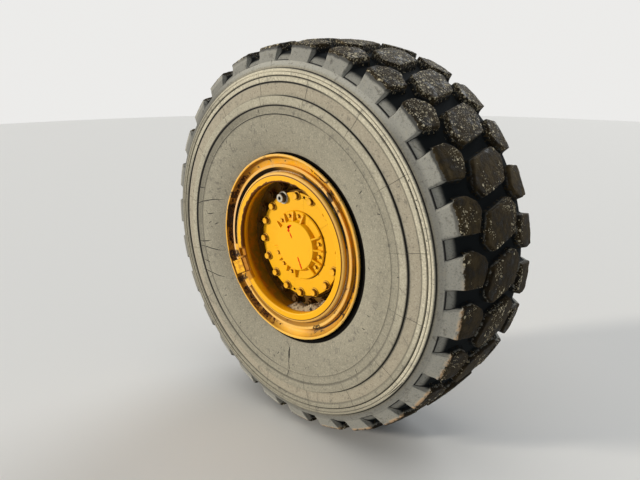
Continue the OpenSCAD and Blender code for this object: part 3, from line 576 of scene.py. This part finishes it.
def lug_column(name, left, right, ends, turn, side, seed):
    """A lug at each pitch. left and right are its edges, as (from the tyre's middle, across) in mm."""
    across, rows = 17, int((ends[1] - ends[0]) / 6) + 1
    t = np.linspace(*ends, rows)
    y = np.sign(t) * np.interp(np.abs(t), run_t, run_s)
    x_left, x_right = (np.interp(y, *np.array(eased(edge, 5)).T)[:, None] for edge in (left, right))
    u, v = np.linspace(0, 1, across), np.linspace(0, 1, rows)[:, None, None]
    loop = border(np.stack([x_left + (x_right - x_left) * u, np.repeat(t[:, None], across, 1)], 2))
    ahead = np.roll(loop, -1, 0) - loop
    ahead /= np.linalg.norm(ahead, axis=1)[:, None]
    ahead = np.stack([ahead[:, 1], -ahead[:, 0]], 1)
    out = ahead + np.roll(ahead, 1, 0)
    out /= np.linalg.norm(out, axis=1)[:, None]
    out /= np.clip(np.sum(out * ahead, 1), 0.75, 1)[:, None]
    # The face is spread between four edges that stand back from the lug's own
    count, u = len(loop), u[None, :, None]
    edge = loop - 3.5 * out
    sides = [edge[-np.arange(rows)], edge[across - 1:across - 1 + rows]]
    caps = [edge[:across], edge[across + rows - 2:2 * across + rows - 2][::-1]]
    corners = [(1 - u) * cap[0] + u * cap[-1] for cap in caps]
    face = ((1 - u) * sides[0][:, None] + u * sides[1][:, None] + (1 - v) * caps[0][None] + v * caps[1][None]
            - ((1 - v) * corners[0] + v * corners[1])).reshape(-1, 2)
    # Each ring below the face: how far it is pushed out, then its depth as a share of the groove's
    rings = [(-1.2, 0.012), (0, 0.05), (0.5, 0.16), (1.6, 0.45), (3.4, 0.76), (6.5, 0.96), (11.0, 1.0)]
    flat = np.concatenate([face] + [loop + out * push for push, _ in rings])
    away = np.abs(flat[:, 1])
    share = np.concatenate([np.zeros(len(face))] + [np.full(count, part) for _, part in rings])
    base = np.arange(len(flat)) >= len(flat) - count
    under = np.clip((away - notch_t) / 14, 0, 1)
    depth = share * np.interp(away, run_t, run_depth) + base * 6 + under * (3 + 6 * share)
    on_top = np.clip(1 - depth / 9, 0, 1) * np.where(away < corner_t - 4, 1.0, 0.12)
    edge_ring = (share > 0) & (share < 0.1)
    mud = np.interp(away, [corner_t - 8, corner_t + 18], [1, 0])
    mud = mud * np.interp(depth, [0, 5, 14, 30], [1.0, 0.8, 0.5, 0.4])
    # Painted shade down the lugs' walls, the deeper the darker
    groove_shade = np.interp(depth, [9, 28], [0, 0.95]) * np.interp(away, [corner_t, notch_t], [1, 0.45])
    # Faces over the top, down the sides and under the lug
    top = np.arange(len(face)).reshape(rows, across)
    down = np.vstack([border(top), np.arange(len(face), len(flat)).reshape(-1, count)])
    last = down[-1].tolist()
    lefts, rights = [last[-i] for i in range(rows)], last[across - 1:across - 1 + rows]
    quads = over(top) + over(np.hstack([down, down[:, :1]]).T)
    quads += [(lefts[i], rights[i], rights[i + 1], lefts[i + 1]) for i in range(1, rows - 2)]
    quads += [(*last[:across], rights[1], lefts[1]),
              (lefts[-2], rights[-2], *last[across + rows - 2:2 * across + rows - 2])]
    points, faces = [], []
    for k in range(pitches):
        lumps = np.array([noise.noise((px / 16 + seed, pt / 16, k * 3.1))
                          + 0.5 * noise.noise((px / 6, pt / 6 + seed, k * 5.3)) for px, pt in flat])
        chips = np.clip(lumps - 0.15, 0, 1) * edge_ring * 5
        worn = depth + np.clip(0.5 + lumps, 0, 2) * on_top * 1.6 + chips + 0.3 * (away < notch_t - 6)
        narrow = flat[:, 0] - chips * 0.3 * np.sign(flat[:, 0])
        centre = radians(first_pitch + turn + k * 360 / pitches)
        points.append(on_tread(narrow, flat[:, 1], worn, side, centre))
        faces += [tuple(i + k * len(flat) for i in quad) for quad in quads]
    piece = new_piece(name, np.concatenate(points), faces, rubber_finish, "tyre", sharp=38)
    for mark, values in (("mud", mud), ("groove_shade", groove_shade), ("crease_shade", (share >= 0.96) * 1.0)):
        carry(piece, mark, np.tile(values, pitches))
    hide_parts("tyre")


shoulder_left = [(117, 1), (150, -71), (246, -59), (330, -56)]
shoulder_right = [(117, 1), (135, 32), (180, 57), (229, 53), (258, 34), (330, 30)]
centre_left = [(-117, 40), (-76, -49), (75, -80), (117, -40)]
centre_right = [(-117, 40), (-75, 80), (76, 49), (117, -40)]
shoulder_ends = (121, notch_t + 8)
lug_column("outer_shoulder_lugs", shoulder_left, shoulder_right, shoulder_ends, 0, 1, 3.0)
lug_column("centre_lugs", centre_left, centre_right, (-112, 112), -5, 1, 11.0)
lug_column("inner_shoulder_lugs", shoulder_left, shoulder_right, shoulder_ends, -10, -1, 27.0)


# Mould lines, cracks and cuts of the sidewall: sixteen thin ridges where the mould's segments met,
# painted darker as painted shade, and cuts left by stones and by rubbing along rubble, drawn as dark strips:
# dirt and painted shade in their hollows.
wall_line = np.array([p for p in side_section if p[1] > 385])


def wall_at(radius, angle):
    """How far outboard the sidewall stands at a radius and an angle."""
    return uneven(np.interp(radius, wall_line[:, 1], wall_line[:, 0]), radius, angle)[0]


def ridges(name, paths, width, height, finish):
    """Thin lines with tapered ends on the sidewall. Each path is a list of (radius, angle)."""
    points, faces = [], []
    for path in paths:
        faces += skin(len(points), len(path), 4)
        last = len(path) - 1
        for i, (r, a) in enumerate(path):
            before, after = path[max(i - 1, 0)], path[min(i + 1, last)]
            run = Vector((after[0] - before[0], r * (after[1] - before[1]))).normalized()
            taper = min(1.0, 0.15 + 3 * min(i, last - i) / len(path))
            for across, up in ((-1, -1.2), (-0.6, height * taper), (0.6, height * taper), (1, -1.2)):
                wide = across * width * taper
                rr, aa = r - run.y * wide, a + run.x * wide / r
                points.append(from_wheel(wall_at(rr, aa) + up, rr, aa))
    return new_piece(name, points, faces, finish, "tyre", sharp=0)


def line_rubber(name, colour, dusty):
    line = Finish(name, 0.9)
    line.base(line.noise(90, 4), colour, dusty)
    return line.done(line.noise(300, 2), 0.0004)


mould_dice = random.Random(4)
mould_paths = []
segments = 16
for k in range(segments):
    angle = radians(11.3 + 360 / segments * k + mould_dice.uniform(-0.4, 0.4))
    mould_paths.append([(r, angle) for r in wall_line[:, 1] if 515 < r < 697])
    if k % 2:
        mould_paths.append([(r, angle) for r in wall_line[:, 1] if 703 < r < 724])
# The mould lines are painted darker than the wall: painted shade along the ridges
ridges("mould_lines", mould_paths, 1.3, 0.5,
       line_rubber("mould_line_rubber", (0.045, 0.040, 0.03), (0.17, 0.155, 0.115)))


def cut_path(r0, a0, r1, a1, dice, bend=1.5):
    """A crack's wandering way from one place of the sidewall to another."""
    steps = max(4, int(abs(r1 - r0) / 9))
    drift, path = 0.0, []
    for i in range(steps + 1):
        q = i / steps
        drift += dice.uniform(-bend, bend)
        angle = radians(a0 + (a1 - a0) * q) + drift * sin(pi * q) / r0
        path.append((r0 + (r1 - r0) * q, angle))
    return path


cut_dice = random.Random(12)
cuts = [(411, 160, 583, 171), (526, 160, 579, 162.5), (408, 193.5, 583, 190), (476, 187, 571, 188),
        (442, 209.5, 583, 201), (430, 176, 452, 178), (520, 199, 560, 197), (455, 171, 500, 173)]
cut_paths = [cut_path(*cut, cut_dice) for cut in cuts]
for count, place, length, lean in ((46, (410, 570), (6, 24), 1.6), (30, (664, 692), (4, 12), 0.5)):
    for i in range(count):
        r0, a0 = cut_dice.uniform(*place), cut_dice.uniform(0, 360)
        r1, a1 = r0 + cut_dice.uniform(*length), a0 + cut_dice.uniform(-lean, lean)
        cut_paths.append(cut_path(r0, a0, r1, a1, cut_dice))
# The cuts' strips are painted near black: dirt and painted shade in their hollows
cut_shade_and_dirt = line_rubber("cut_shade_and_dirt_rubber", (0.008, 0.007, 0.005), (0.035, 0.03, 0.022))
cracks = [cut_path(415, 272, 583, 270, cut_dice, 3), cut_path(690, 318, 697, 330, cut_dice)]
for name, paths, width, height in (("cuts", cut_paths[:8], 3.0, 0.4), ("scars", cut_paths[8::3], 2.6, 0.35),
                                   ("nicks", cut_paths[9::3] + cut_paths[10::3], 1.2, 0.3),
                                   ("cracks", cracks, 2.8, 0.4), ("split", [cracks[0][1:9]], 6.5, 0.5)):
    ridges(f"sidewall_{name}", paths, width, height, cut_shade_and_dirt)


# Outer flange and bead seat band: loose rings of rolled steel that hold the tyre's bead on the outboard
# side. The lip is dented, and the paint is worn to rust and packed with dirt in the curl.
def rim_ring_paint():
    ring = Finish("worn_ring_paint", 0.6, specular=0.15)
    radius, outboard = ring.radius(), ring.outboard()
    film, fine, speck = ring.noise(16, 6, 0.66, 0.5), ring.noise(75, 5, 0.7), ring.noise(330, 3, 0.6)
    ring.base(ring.noise(5, 3), (0.80, 0.36, 0.004), (0.90, 0.45, 0.012))
    ring.coat((film + fine * 0.5).step(0.66, 0.92) * 0.6, (0.72, 0.44, 0.15))
    # The lip's outer edge and the ring's lower part are painted paler: painted highlights
    ring.coat(radius.step(0.3745, 0.3765, 0.0, 0.45), (0.92, 0.60, 0.20))
    ring.coat(ring.sector(232, 322, 16) * 0.55, (0.95, 0.58, 0.10))
    # The band's end face is painted pale, most of all on the left: a painted highlight
    painted_highlight = ring.sector(150, 200, 8).step(0, 1, 0.35, 0.95)
    ring.coat(radius.line(0.3350, 0.0080) * outboard.step(0.268, 0.271) * painted_highlight, (0.80, 0.50, 0.22))
    # The curl's hollow is rusty brown on the right. On the left, at the lower left and under the lip at the
    # upper left it is painted dark: a painted shadow of the lip
    hollow = radius.step(0.338, 0.346) * radius.step(0.3735, 0.3695)
    ring.coat(hollow * ring.sector(-74, 62, 10) * 0.7, (0.42, 0.165, 0.008))
    under_lip = radius.step(0.3590, 0.3635) * radius.step(0.3735, 0.3700)
    left = hollow * ring.sector(124, 258, 12) | under_lip * ring.sector(86, 150, 10)
    ring.coat(left * 0.85, (0.22, 0.080, 0.005))
    worst = (ring.sector(152, 200, 8) | ring.sector(218, 258, 10) | ring.sector(-36, -6, 8)) * hollow
    rust_share = (worst * 0.14 + fine).step(0.62, 0.78)
    ring.coat(rust_share, ring.mix(speck, (0.07, 0.022, 0.004), (0.26, 0.09, 0.012)))
    ring.coat((film + worst * 0.12).step(0.60, 0.66) * 0.9, (0.009, 0.004, 0.002))
    wedge = (radius + film * 0.008).line(0.3530, 0.0048) * ring.sector(-66, 8, 8)
    ring.coat(wedge, (0.035, 0.012, 0.003))
    # Dirt fills the recess between the band and the lock ring. On the left and at the upper right the recess
    # is painted black, a painted shadow of the band's edge, and both sides of the key are painted dark:
    # painted shade in the gaps
    recess = radius.step(0.3300, 0.3275) * outboard.step(0.2735, 0.2725)
    blackest = ring.sector(97, 190, 8) | ring.sector(20, 76, 8) * film.step(0.44, 0.52)
    ring.coat(recess * 0.7, (0.22, 0.085, 0.012))
    ring.coat(recess * blackest, (0.006, 0.003, 0.002))
    beside = (ring.sector(193.5, 199, 1) | ring.sector(213, 217, 1)) * fine.step(0.36, 0.50)
    ring.coat(beside * radius.step(0.376, 0.372), (0.03, 0.012, 0.004))
    chips = (ring.edge(0.003) * 0.4 + fine).step(0.86, 0.93)
    ring.coat(chips, (0.10, 0.042, 0.012))
    return ring.done(speck * rust_share.step(0, 1, 0.15, 0.8) - chips, 0.0009, 0.8,
                     rust_share.step(0, 1, 0.5, 0.86))


ring_finish = rim_ring_paint()
flange_section = arc(curl_s, curl_r, 37.9, 2, 76, 16)
flange_section += eased([(277.5, 380.9), (281, 380.4, 2), (282.9, 377, 2.5), (282.9, 371.5, 2),
                         (281, 369.2, 2), (277.6, 368.4)])
flange_section += arc(curl_s, curl_r, 26, 74, 0, 14) + [(259.5, 318.0), (247.7, 318.0)]


def dented(s, r, angle):
    """Knocks along the lip."""
    if r > 366 and s > 270:
        hit, small = (max(0, noise.noise((turn * cos(angle), turn * sin(angle), r / fine)))
                      for turn, fine in ((9, 40), (40, 15)))
        return s - 0.9 * hit - 0.7 * small, r - 0.6 * small
    return s, r


flange = turned("outer_flange_ring", flange_section, ring_finish, "worn_paint", 360, lumps=dented, sharp=38)
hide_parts("outer_flange")
dress("bead_seat_band", ring_finish, 1.0)


# Lock ring: split spring-steel ring that keeps the band on the barrel. It is unpainted and has
# rusted tan and brown, with dark edges against both of its neighbours: dirt and painted shade in the gaps.
def rusty_ring():
    ring = Finish("rusty_spring_steel", 0.75)
    radius, fine, film = ring.radius(), ring.noise(90, 5, 0.7), ring.noise(18, 5, 0.6, 0.4)
    ring.base(film.step(0.38, 0.62), (0.46, 0.27, 0.10), (0.60, 0.40, 0.19))
    ring.coat(fine.step(0.54, 0.68), (0.20, 0.085, 0.025))
    # On the left it is painted dark brown: painted shade
    ring.coat(ring.sector(160, 190, 4) * 0.8, (0.22, 0.09, 0.015))
    ring.coat((film + ring.sector(6, 82, 10) * 0.22).step(0.60, 0.68), (0.012, 0.007, 0.005))
    # Its inner and outer edges are painted near black: dirt and painted shade in the gaps
    ring.coat(radius.step(0.3012, 0.2998) | radius.step(0.3132, 0.3146), (0.010, 0.006, 0.004))
    return ring.done(fine, 0.0012, 0.9)


lock_section = eased([(252.3, 298.4), (262.0, 298.4), (262.0, 312.2, 1.2), (259.6, 314.2, 1), (252.3, 307.1)])
lock = turned("lock_ring_bar", lock_section, rusty_ring(), "bare_steel", 330, 225, 322, sharp=35)
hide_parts("lock_ring")


# Driver key: block that stands in a pocket of the band and in slots of the gutter, so that flange,
# band and rim base cannot creep round on each other. It is newer paint than the ring beside it.
def key_paint():
    key = Finish("key_paint", 0.5, specular=0.2)
    key.base(key.noise(30, 4), (0.86, 0.42, 0.001), (0.95, 0.50, 0.02))
    key.coat(key.noise(46, 5, 0.7, 0.5).step(0.44, 0.60, 0.0, 0.85), (0.52, 0.20, 0.008))
    # Its tongue, deep in the gutter's slots, is painted darker: painted shade
    key.coat(key.radius().step(0.3030, 0.3010) * 0.85, (0.40, 0.14, 0.006))
    key.coat(key.edge(0.0045) * key.noise(120, 4, 0.7).step(0.34, 0.46), (0.09, 0.03, 0.004))
    return key.done(key.noise(500, 2), 0.0004)


dress("driver_key", key_paint(), 1.2)

# Valve: brass spud screwed through the barrel and locked by a nut, with a capped stem bent outboard.
# It is dull and brown from brake dust.
dress("valve", worn_steel("valve_brass", (0.10, 0.06, 0.02), (0.03, 0.018, 0.008), 0.6), 0.5)

# Drive cover: cast lid of the planetary hub, with a scalloped edge round its bolts and three holes
# for jacking screws. It is painted with its bolts on and is the cleanest yellow of the wheel.
cover_circle = 205


def lid_paint():
    paint = Finish("cover_paint", 0.5, specular=0.2)
    paint.base(paint.noise(7, 4, 0.6), (0.87, 0.430, 0.0005), (0.93, 0.480, 0.001))
    paint.coat(paint.noise(24, 6, 0.68, 0.4).step(0.58, 0.76, 0.0, 0.4), (0.62, 0.26, 0.004))
    # The jacking screws' holes are painted dark, painted shade, and the foot of the cap on its right is
    # painted dark, a painted shadow of the cap
    for angle in (36.55, 81.55, 261.55):
        x, z = (cover_circle / 1000 * turn(radians(angle)) for turn in (cos, sin))
        paint.coat(paint.beside(x, z).step(0.0064, 0.0054), (0.02, 0.008, 0.002))
    foot = paint.beside(0.0008, -0.0008).line(0.1452, 0.0030) * paint.sector(-66, 74, 12)
    paint.coat(foot * paint.outboard().step(0.2095, 0.2065) * 0.9, (0.10, 0.028, 0.002))
    chips = paint.noise(150, 5, 0.7).step(0.74, 0.79)
    paint.coat(chips, (0.30, 0.11, 0.01))
    return paint.sprayed(chips)


cover_paint = lid_paint()
dress("drive_cover", cover_paint, 1.6, 25)


# Bolts of the cover and of the cap: flanged hexagon screws, painted over where they sit, so that only
# the corners of their heads are chipped.
def screw_paint():
    paint = Finish("screw_paint", 0.5, specular=0.2)
    paint.base(paint.noise(40, 4), (0.84, 0.41, 0.001), (0.95, 0.49, 0.03))
    # The heads' flanks, the washers' rims and the sockets are painted dark: painted shade
    paint.coat(paint.mark("flank") * 0.9, (0.07, 0.026, 0.003))
    paint.coat(paint.noise(210, 4, 0.7).step(0.64, 0.70) * 0.7, (0.20, 0.08, 0.015))
    return paint.done(paint.noise(700, 2), 0.0003)


def screw_heads(name, groups, finish, slot):
    """Round and hexagonal heads standing outboard, each group a profile and its places.

    A profile is a list of (reach, height, flank_shade): reach and height in mm, a negative reach for a
    hexagon's half width, flank_shade a share of painted shade. A place is (outboard, radius, angle, spin), in
    mm and degrees.
    """
    steps = 36
    points, faces, flank_shades = [], [], []
    for profile, places in groups:
        for s, r, angle, spin in places:
            faces += skin(len(points), len(profile), steps)
            x, z = r * cos(radians(angle)), r * sin(radians(angle))
            for ring, (reach, up, flank_shade) in enumerate(profile):
                flank_shades += [flank_shade] * steps
                for k in range(steps):
                    turn = k * 360 / steps
                    wide = abs(reach) / (cos(radians(turn % 60 - 30)) if reach < 0 else 1)
                    # The top of a hexagon is turned down at its corners
                    high = up - (wide + reach) * 0.8 * (reach < 0 < up and profile[ring + 1][0] > 0)
                    turn = radians(turn + spin)
                    points.append(across_wheel(x + wide * cos(turn), s + high, z + wide * sin(turn)))
    piece = new_piece(name, points, faces, finish, slot, sharp=34)
    carry(piece, "flank", flank_shades)
    return piece


screw_dice = random.Random(7)
screw_finish = screw_paint()
cover_head = [(20.4, -1, 0.8), (20.0, 0.4, 0.8), (18.0, 1.6, 0.6), (17.8, 2.2, 0), (15.6, 2.6, 0),
              (15.2, 2.6, 1), (13.2, 4.6, 1), (-12.6, 5.2, 1), (-12.6, 14.2, 0.8), (12.2, 14.6, 0),
              (11.6, 15.2, 0), (7.5, 14.7, 0)]
set_screw = [(6.9, -12, 0), (6.9, -2.2, 0.4), (6.3, -1.5, 0), (6.0, -1.5, 0), (-3.5, -1.5, 0.7),
             (-3.5, -7, 1), (3.1, -7, 1), (1.5, -7.6, 1)]
cover_places = [(203, cover_circle, 2.8 + 22.5 * i, screw_dice.uniform(0, 60)) for i in range(16)]
cover_screws = screw_heads("cover_screws", [(cover_head, cover_places[3:5] + cover_places[6:]),
                                            (set_screw, cover_places[:3])], screw_finish, "rim_paint")
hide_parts("cover_bolts")


# Oil plug: zinc-plated plug with a hexagon socket and a wide sealing washer, screwed into one of the
# cover's places. It is bare metal, dull where oil and dust have dried on it.
def zinc_plating():
    zinc = Finish("zinc_plating", 0.5, 0.2)
    zinc.base(zinc.noise(90, 5, 0.65), (0.32, 0.30, 0.23), (0.54, 0.50, 0.41))
    # The plug's flanks and socket are painted near black: painted shade
    zinc.coat(zinc.mark("flank"), (0.014, 0.011, 0.008))
    return zinc.done(zinc.noise(400, 3), 0.0003)


plug_head = [(27.0, -1, 0), (27.0, 3.6, 0), (26.0, 4.6, 0), (22.0, 4.6, 0.1), (20.6, 4.8, 1),
             (19.6, 6.0, 1), (18.4, 20.0, 0.9), (17.6, 22.6, 0.1), (16.4, 23.8, 0), (10.0, 24.0, 0),
             (-6.4, 24.0, 0.9), (-6.2, 15.0, 1), (5.4, 14.6, 1), (2.5, 14.0, 1)]
plug = screw_heads("oil_plug_head", [(plug_head, cover_places[5:6])], zinc_plating(), "bare_steel")
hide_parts("oil_plug")

# Cap of the planet carrier: a casting with pockets and ribs round three groups of small screws and a
# smooth turned disc in the middle.
dress("carrier_cap", cover_paint, 1.4, 25)
cap_circle = 125
cap_places = [(212, cap_circle, group + step, screw_dice.uniform(0, 60)) for group in (-10, 110, 230)
              for step in (-24, 0, 24)]
cap_head = [(9.0, -1, 0), (9.0, 1.3, 0), (8.4, 2.2, 0.2), (-7.0, 2.8, 1), (-7.0, 8.6, 1), (6.6, 8.8, 0.1),
            (6.2, 9.2, 0), (4.2, 8.8, 0)]
cap_screws = screw_heads("cap_screws", [(cap_head, cap_places)], screw_finish, "rim_paint")
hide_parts("cap_bolts")


# Fitter's marks on the cap's disc: short strokes of red marking paint, put on by hand after the
# screws were tightened.
def marking_paint():
    red = Finish("red_marking_paint", 0.6, specular=0.1)
    red.base(red.noise(160, 4), (0.70, 0.010, 0.0), (0.86, 0.045, 0.0))
    return red.done(red.noise(500, 2), 0.0003)


def strokes(name, lines, finish):
    """Hand-painted strokes on the disc, each (x, z, x, z, width) in millimetres from the axle line."""
    dice = random.Random(21)
    points, faces, steps, disc_face = [], [], 10, 229.0
    for x0, z0, x1, z1, width in lines:
        faces += skin(len(points), steps + 1, 4)
        run = Vector((x1 - x0, z1 - z0))
        side = Vector((-run.y, run.x)).normalized()
        for i in range(steps + 1):
            q = i / steps
            half = 0.35 + 0.65 * sin(pi * min(max(q, 0.08), 0.92))
            half = width / 2 * half * dice.uniform(0.75, 1.2)
            for across, up in ((-half, -0.6), (-half, 0.12), (half, 0.12), (half, -0.6)):
                at = Vector((x0, z0)) + run * q + side * across
                points.append(across_wheel(at.x, disc_face + up, at.y))
    return new_piece(name, points, faces, finish, "rim_paint", sharp=0)


strokes("red_marks", [(-42, 71, -18, 85, 10), (-41, 68, -31, 76, 15), (-41, 61, -29, 58, 15),
                      (-28, 52, -16, 30, 7.5), (16, -43, 27, -66, 8), (26, -64, 39, -91, 9)], marking_paint())


# Dirt packed on the rim: mud that fell from the tread and dried at the bottom of the barrel, and
# crusts of earth and rust in the curl of the flange and along the gutter.
def dried_mud():
    mud = Finish("dried_mud", 0.95)
    soft, grit = mud.noise(60, 6, 0.7), mud.noise(400, 4, 0.65)
    mud.base(soft.step(0.36, 0.56), (0.10, 0.062, 0.026), (0.40, 0.31, 0.19))
    mud.coat(grit.step(0.60, 0.70), (0.55, 0.44, 0.28))
    # Near-black spots stand for holes in the mud: painted shade
    mud.coat(mud.noise(26, 2, 0.4).step(0.40, 0.36), (0.012, 0.008, 0.004))
    return mud.done(soft + grit * 0.5, 0.003, 0.9)


def rust_scale():
    scale = Finish("rust_scale", 0.9, specular=0.1)
    soft = scale.noise(120, 5, 0.7)
    scale.base(soft.step(0.42, 0.66), (0.016, 0.007, 0.003), (0.20, 0.075, 0.014))
    return scale.done(soft, 0.0012, 0.9)


def crust(name, surface, start, end, thickness, seed, lift, finish, patchy=0.0, cell=5.0, lump=34):
    """Dirt lying on a turned surface. It rises out of the surface where the noise is high."""
    surface = np.array(surface, float)
    lengths = np.concatenate([[0], np.cumsum(np.hypot(*np.diff(surface, axis=0).T))])
    across = max(4, int(lengths[-1] / cell))
    s, r = (np.interp(np.linspace(0, lengths[-1], across + 1), lengths, line) for line in surface.T)
    ds, dr = np.gradient(s), np.gradient(r)
    ns, nr = dr / np.hypot(ds, dr), -ds / np.hypot(ds, dr)
    turns = max(6, int(radians(end - start) * r.mean() / cell))
    buried = -1.5
    top, bottom = [], []
    for k in range(turns + 1):
        q = k / turns
        angle = radians(start + (end - start) * q)
        for j in range(across + 1):
            p = j / across
            fade = min(1, 5 * q, 5 * (1 - q)) * min(1, 4 * p + 0.2, 4 * (1 - p) + 0.2)
            here = Vector((r[j] * cos(angle), r[j] * sin(angle), s[j]))
            rough = noise.noise(here / lump + Vector((seed, 0, 0)))
            rough += 0.6 * noise.noise(here / 12 + Vector((0, seed, 0))) * 34 / lump
            high = min(thickness * (fade * (0.75 + rough) - patchy), 1.1 * thickness) + lift
            high = buried if k in (0, turns) or j in (0, across) else max(high, buried)
            for side, off in ((top, high), (bottom, buried - 1)):
                side.append(from_wheel(s[j] + ns[j] * off, r[j] + nr[j] * off, angle))
    count = len(top)
    grid = np.arange(count).reshape(turns + 1, across + 1)
    edge = border(grid).tolist()
    faces = over(grid) + over(grid.T + count)
    faces += [(a, count + a, count + b, b) for a, b in zip(edge, edge[1:] + edge[:1])]
    return new_piece(name, top + bottom, faces, finish, "rim_paint", sharp=0)


crust("barrel_mud", [(180, 293), (254, 293)], 257, 326, 46, 5.0, 0, dried_mud(), lump=90)
curl_wall = arc(curl_s, curl_r, 26, 12, 70, 14)
scale_finish = rust_scale()
patches = (118, 200, 2.0), (214, 268, 9.0), (338, 382, 14.0), (30, 75, 20.0)
for number, (start, end, seed) in enumerate(patches):
    crust(f"flange_dirt_{number}", curl_wall, start, end, 5.0, seed, -1.5, scale_finish, 0.25, 4.0)


# Floor, light and camera: a plain pale studio floor, one soft key light from the left, the front and
# above, and the viewpoint from which the real wheel was photographed.
floor_paint = Finish("pale_floor", 0.9)
floor_paint.shader["Base Color"].default_value = (0.80, 0.785, 0.755, 1.0)
ground = bpy.data.meshes.new("floor")
reach, level = 14, -0.8086
round_floor = [(reach * cos(radians(a)), reach * sin(radians(a)), level) for a in range(0, 360, 6)]
ground.from_pydata(round_floor, [], [tuple(range(len(round_floor)))])
ground.materials.append(floor_paint.material)
placed("floor", ground)

world = bpy.data.worlds.new("studio")
world.use_nodes = True
bpy.context.scene.world = world
nodes, links = world.node_tree.nodes, world.node_tree.links
lit, shown = nodes["Background"], nodes.new("ShaderNodeBackground")
for sky, tint, strength in ((lit, (0.86, 0.93, 1.0, 1), 0.24), (shown, (0.84, 0.835, 0.82, 1), 1.0)):
    sky.inputs["Color"].default_value = tint
    sky.inputs["Strength"].default_value = strength
rays = nodes.new("ShaderNodeLightPath").outputs
seen = rays["Is Camera Ray"]
for kind in ("Is Glossy Ray", "Is Transmission Ray"):
    either = nodes.new("ShaderNodeMath")
    either.operation = "MAXIMUM"
    links.new(seen, either.inputs[0])
    links.new(rays[kind], either.inputs[1])
    seen = either.outputs[0]
choose = nodes.new("ShaderNodeMixShader")
for number, socket in enumerate((seen, lit.outputs[0], shown.outputs[0])):
    links.new(socket, choose.inputs[number])
links.new(choose.outputs[0], nodes["World Output"].inputs["Surface"])


def aimed(thing, toward):
    thing.rotation_euler = Vector(toward).to_track_quat("-Z", "Y").to_euler()


for name, toward, strength, spread, tint in (("key_light", (0.64, 0.74, -0.18), 2.95, 6, (1.0, 0.95, 0.86)),
                                             ("top_light", (0.1, 0.1, -1.0), 0.7, 60, (1.0, 0.98, 0.95)),
                                             ("back_light", (0.15, -0.85, -0.5), 1.4, 35, (0.92, 0.96, 1.0))):
    lamp = bpy.data.lights.new(name, "SUN")
    lamp.energy, lamp.angle, lamp.color = strength, radians(spread), tint
    aimed(placed(name, lamp), toward)

eye = bpy.data.cameras.new("camera")
eye.lens = 33.75
eye.sensor_width = 36
camera = placed("camera", eye)
camera.location = (1.6615, -2.5657, 0.7414)
aimed(camera, (-0.6507, 0.7003, -0.2935))
bpy.context.scene.camera = camera
bpy.context.scene.view_settings.view_transform = "Standard"
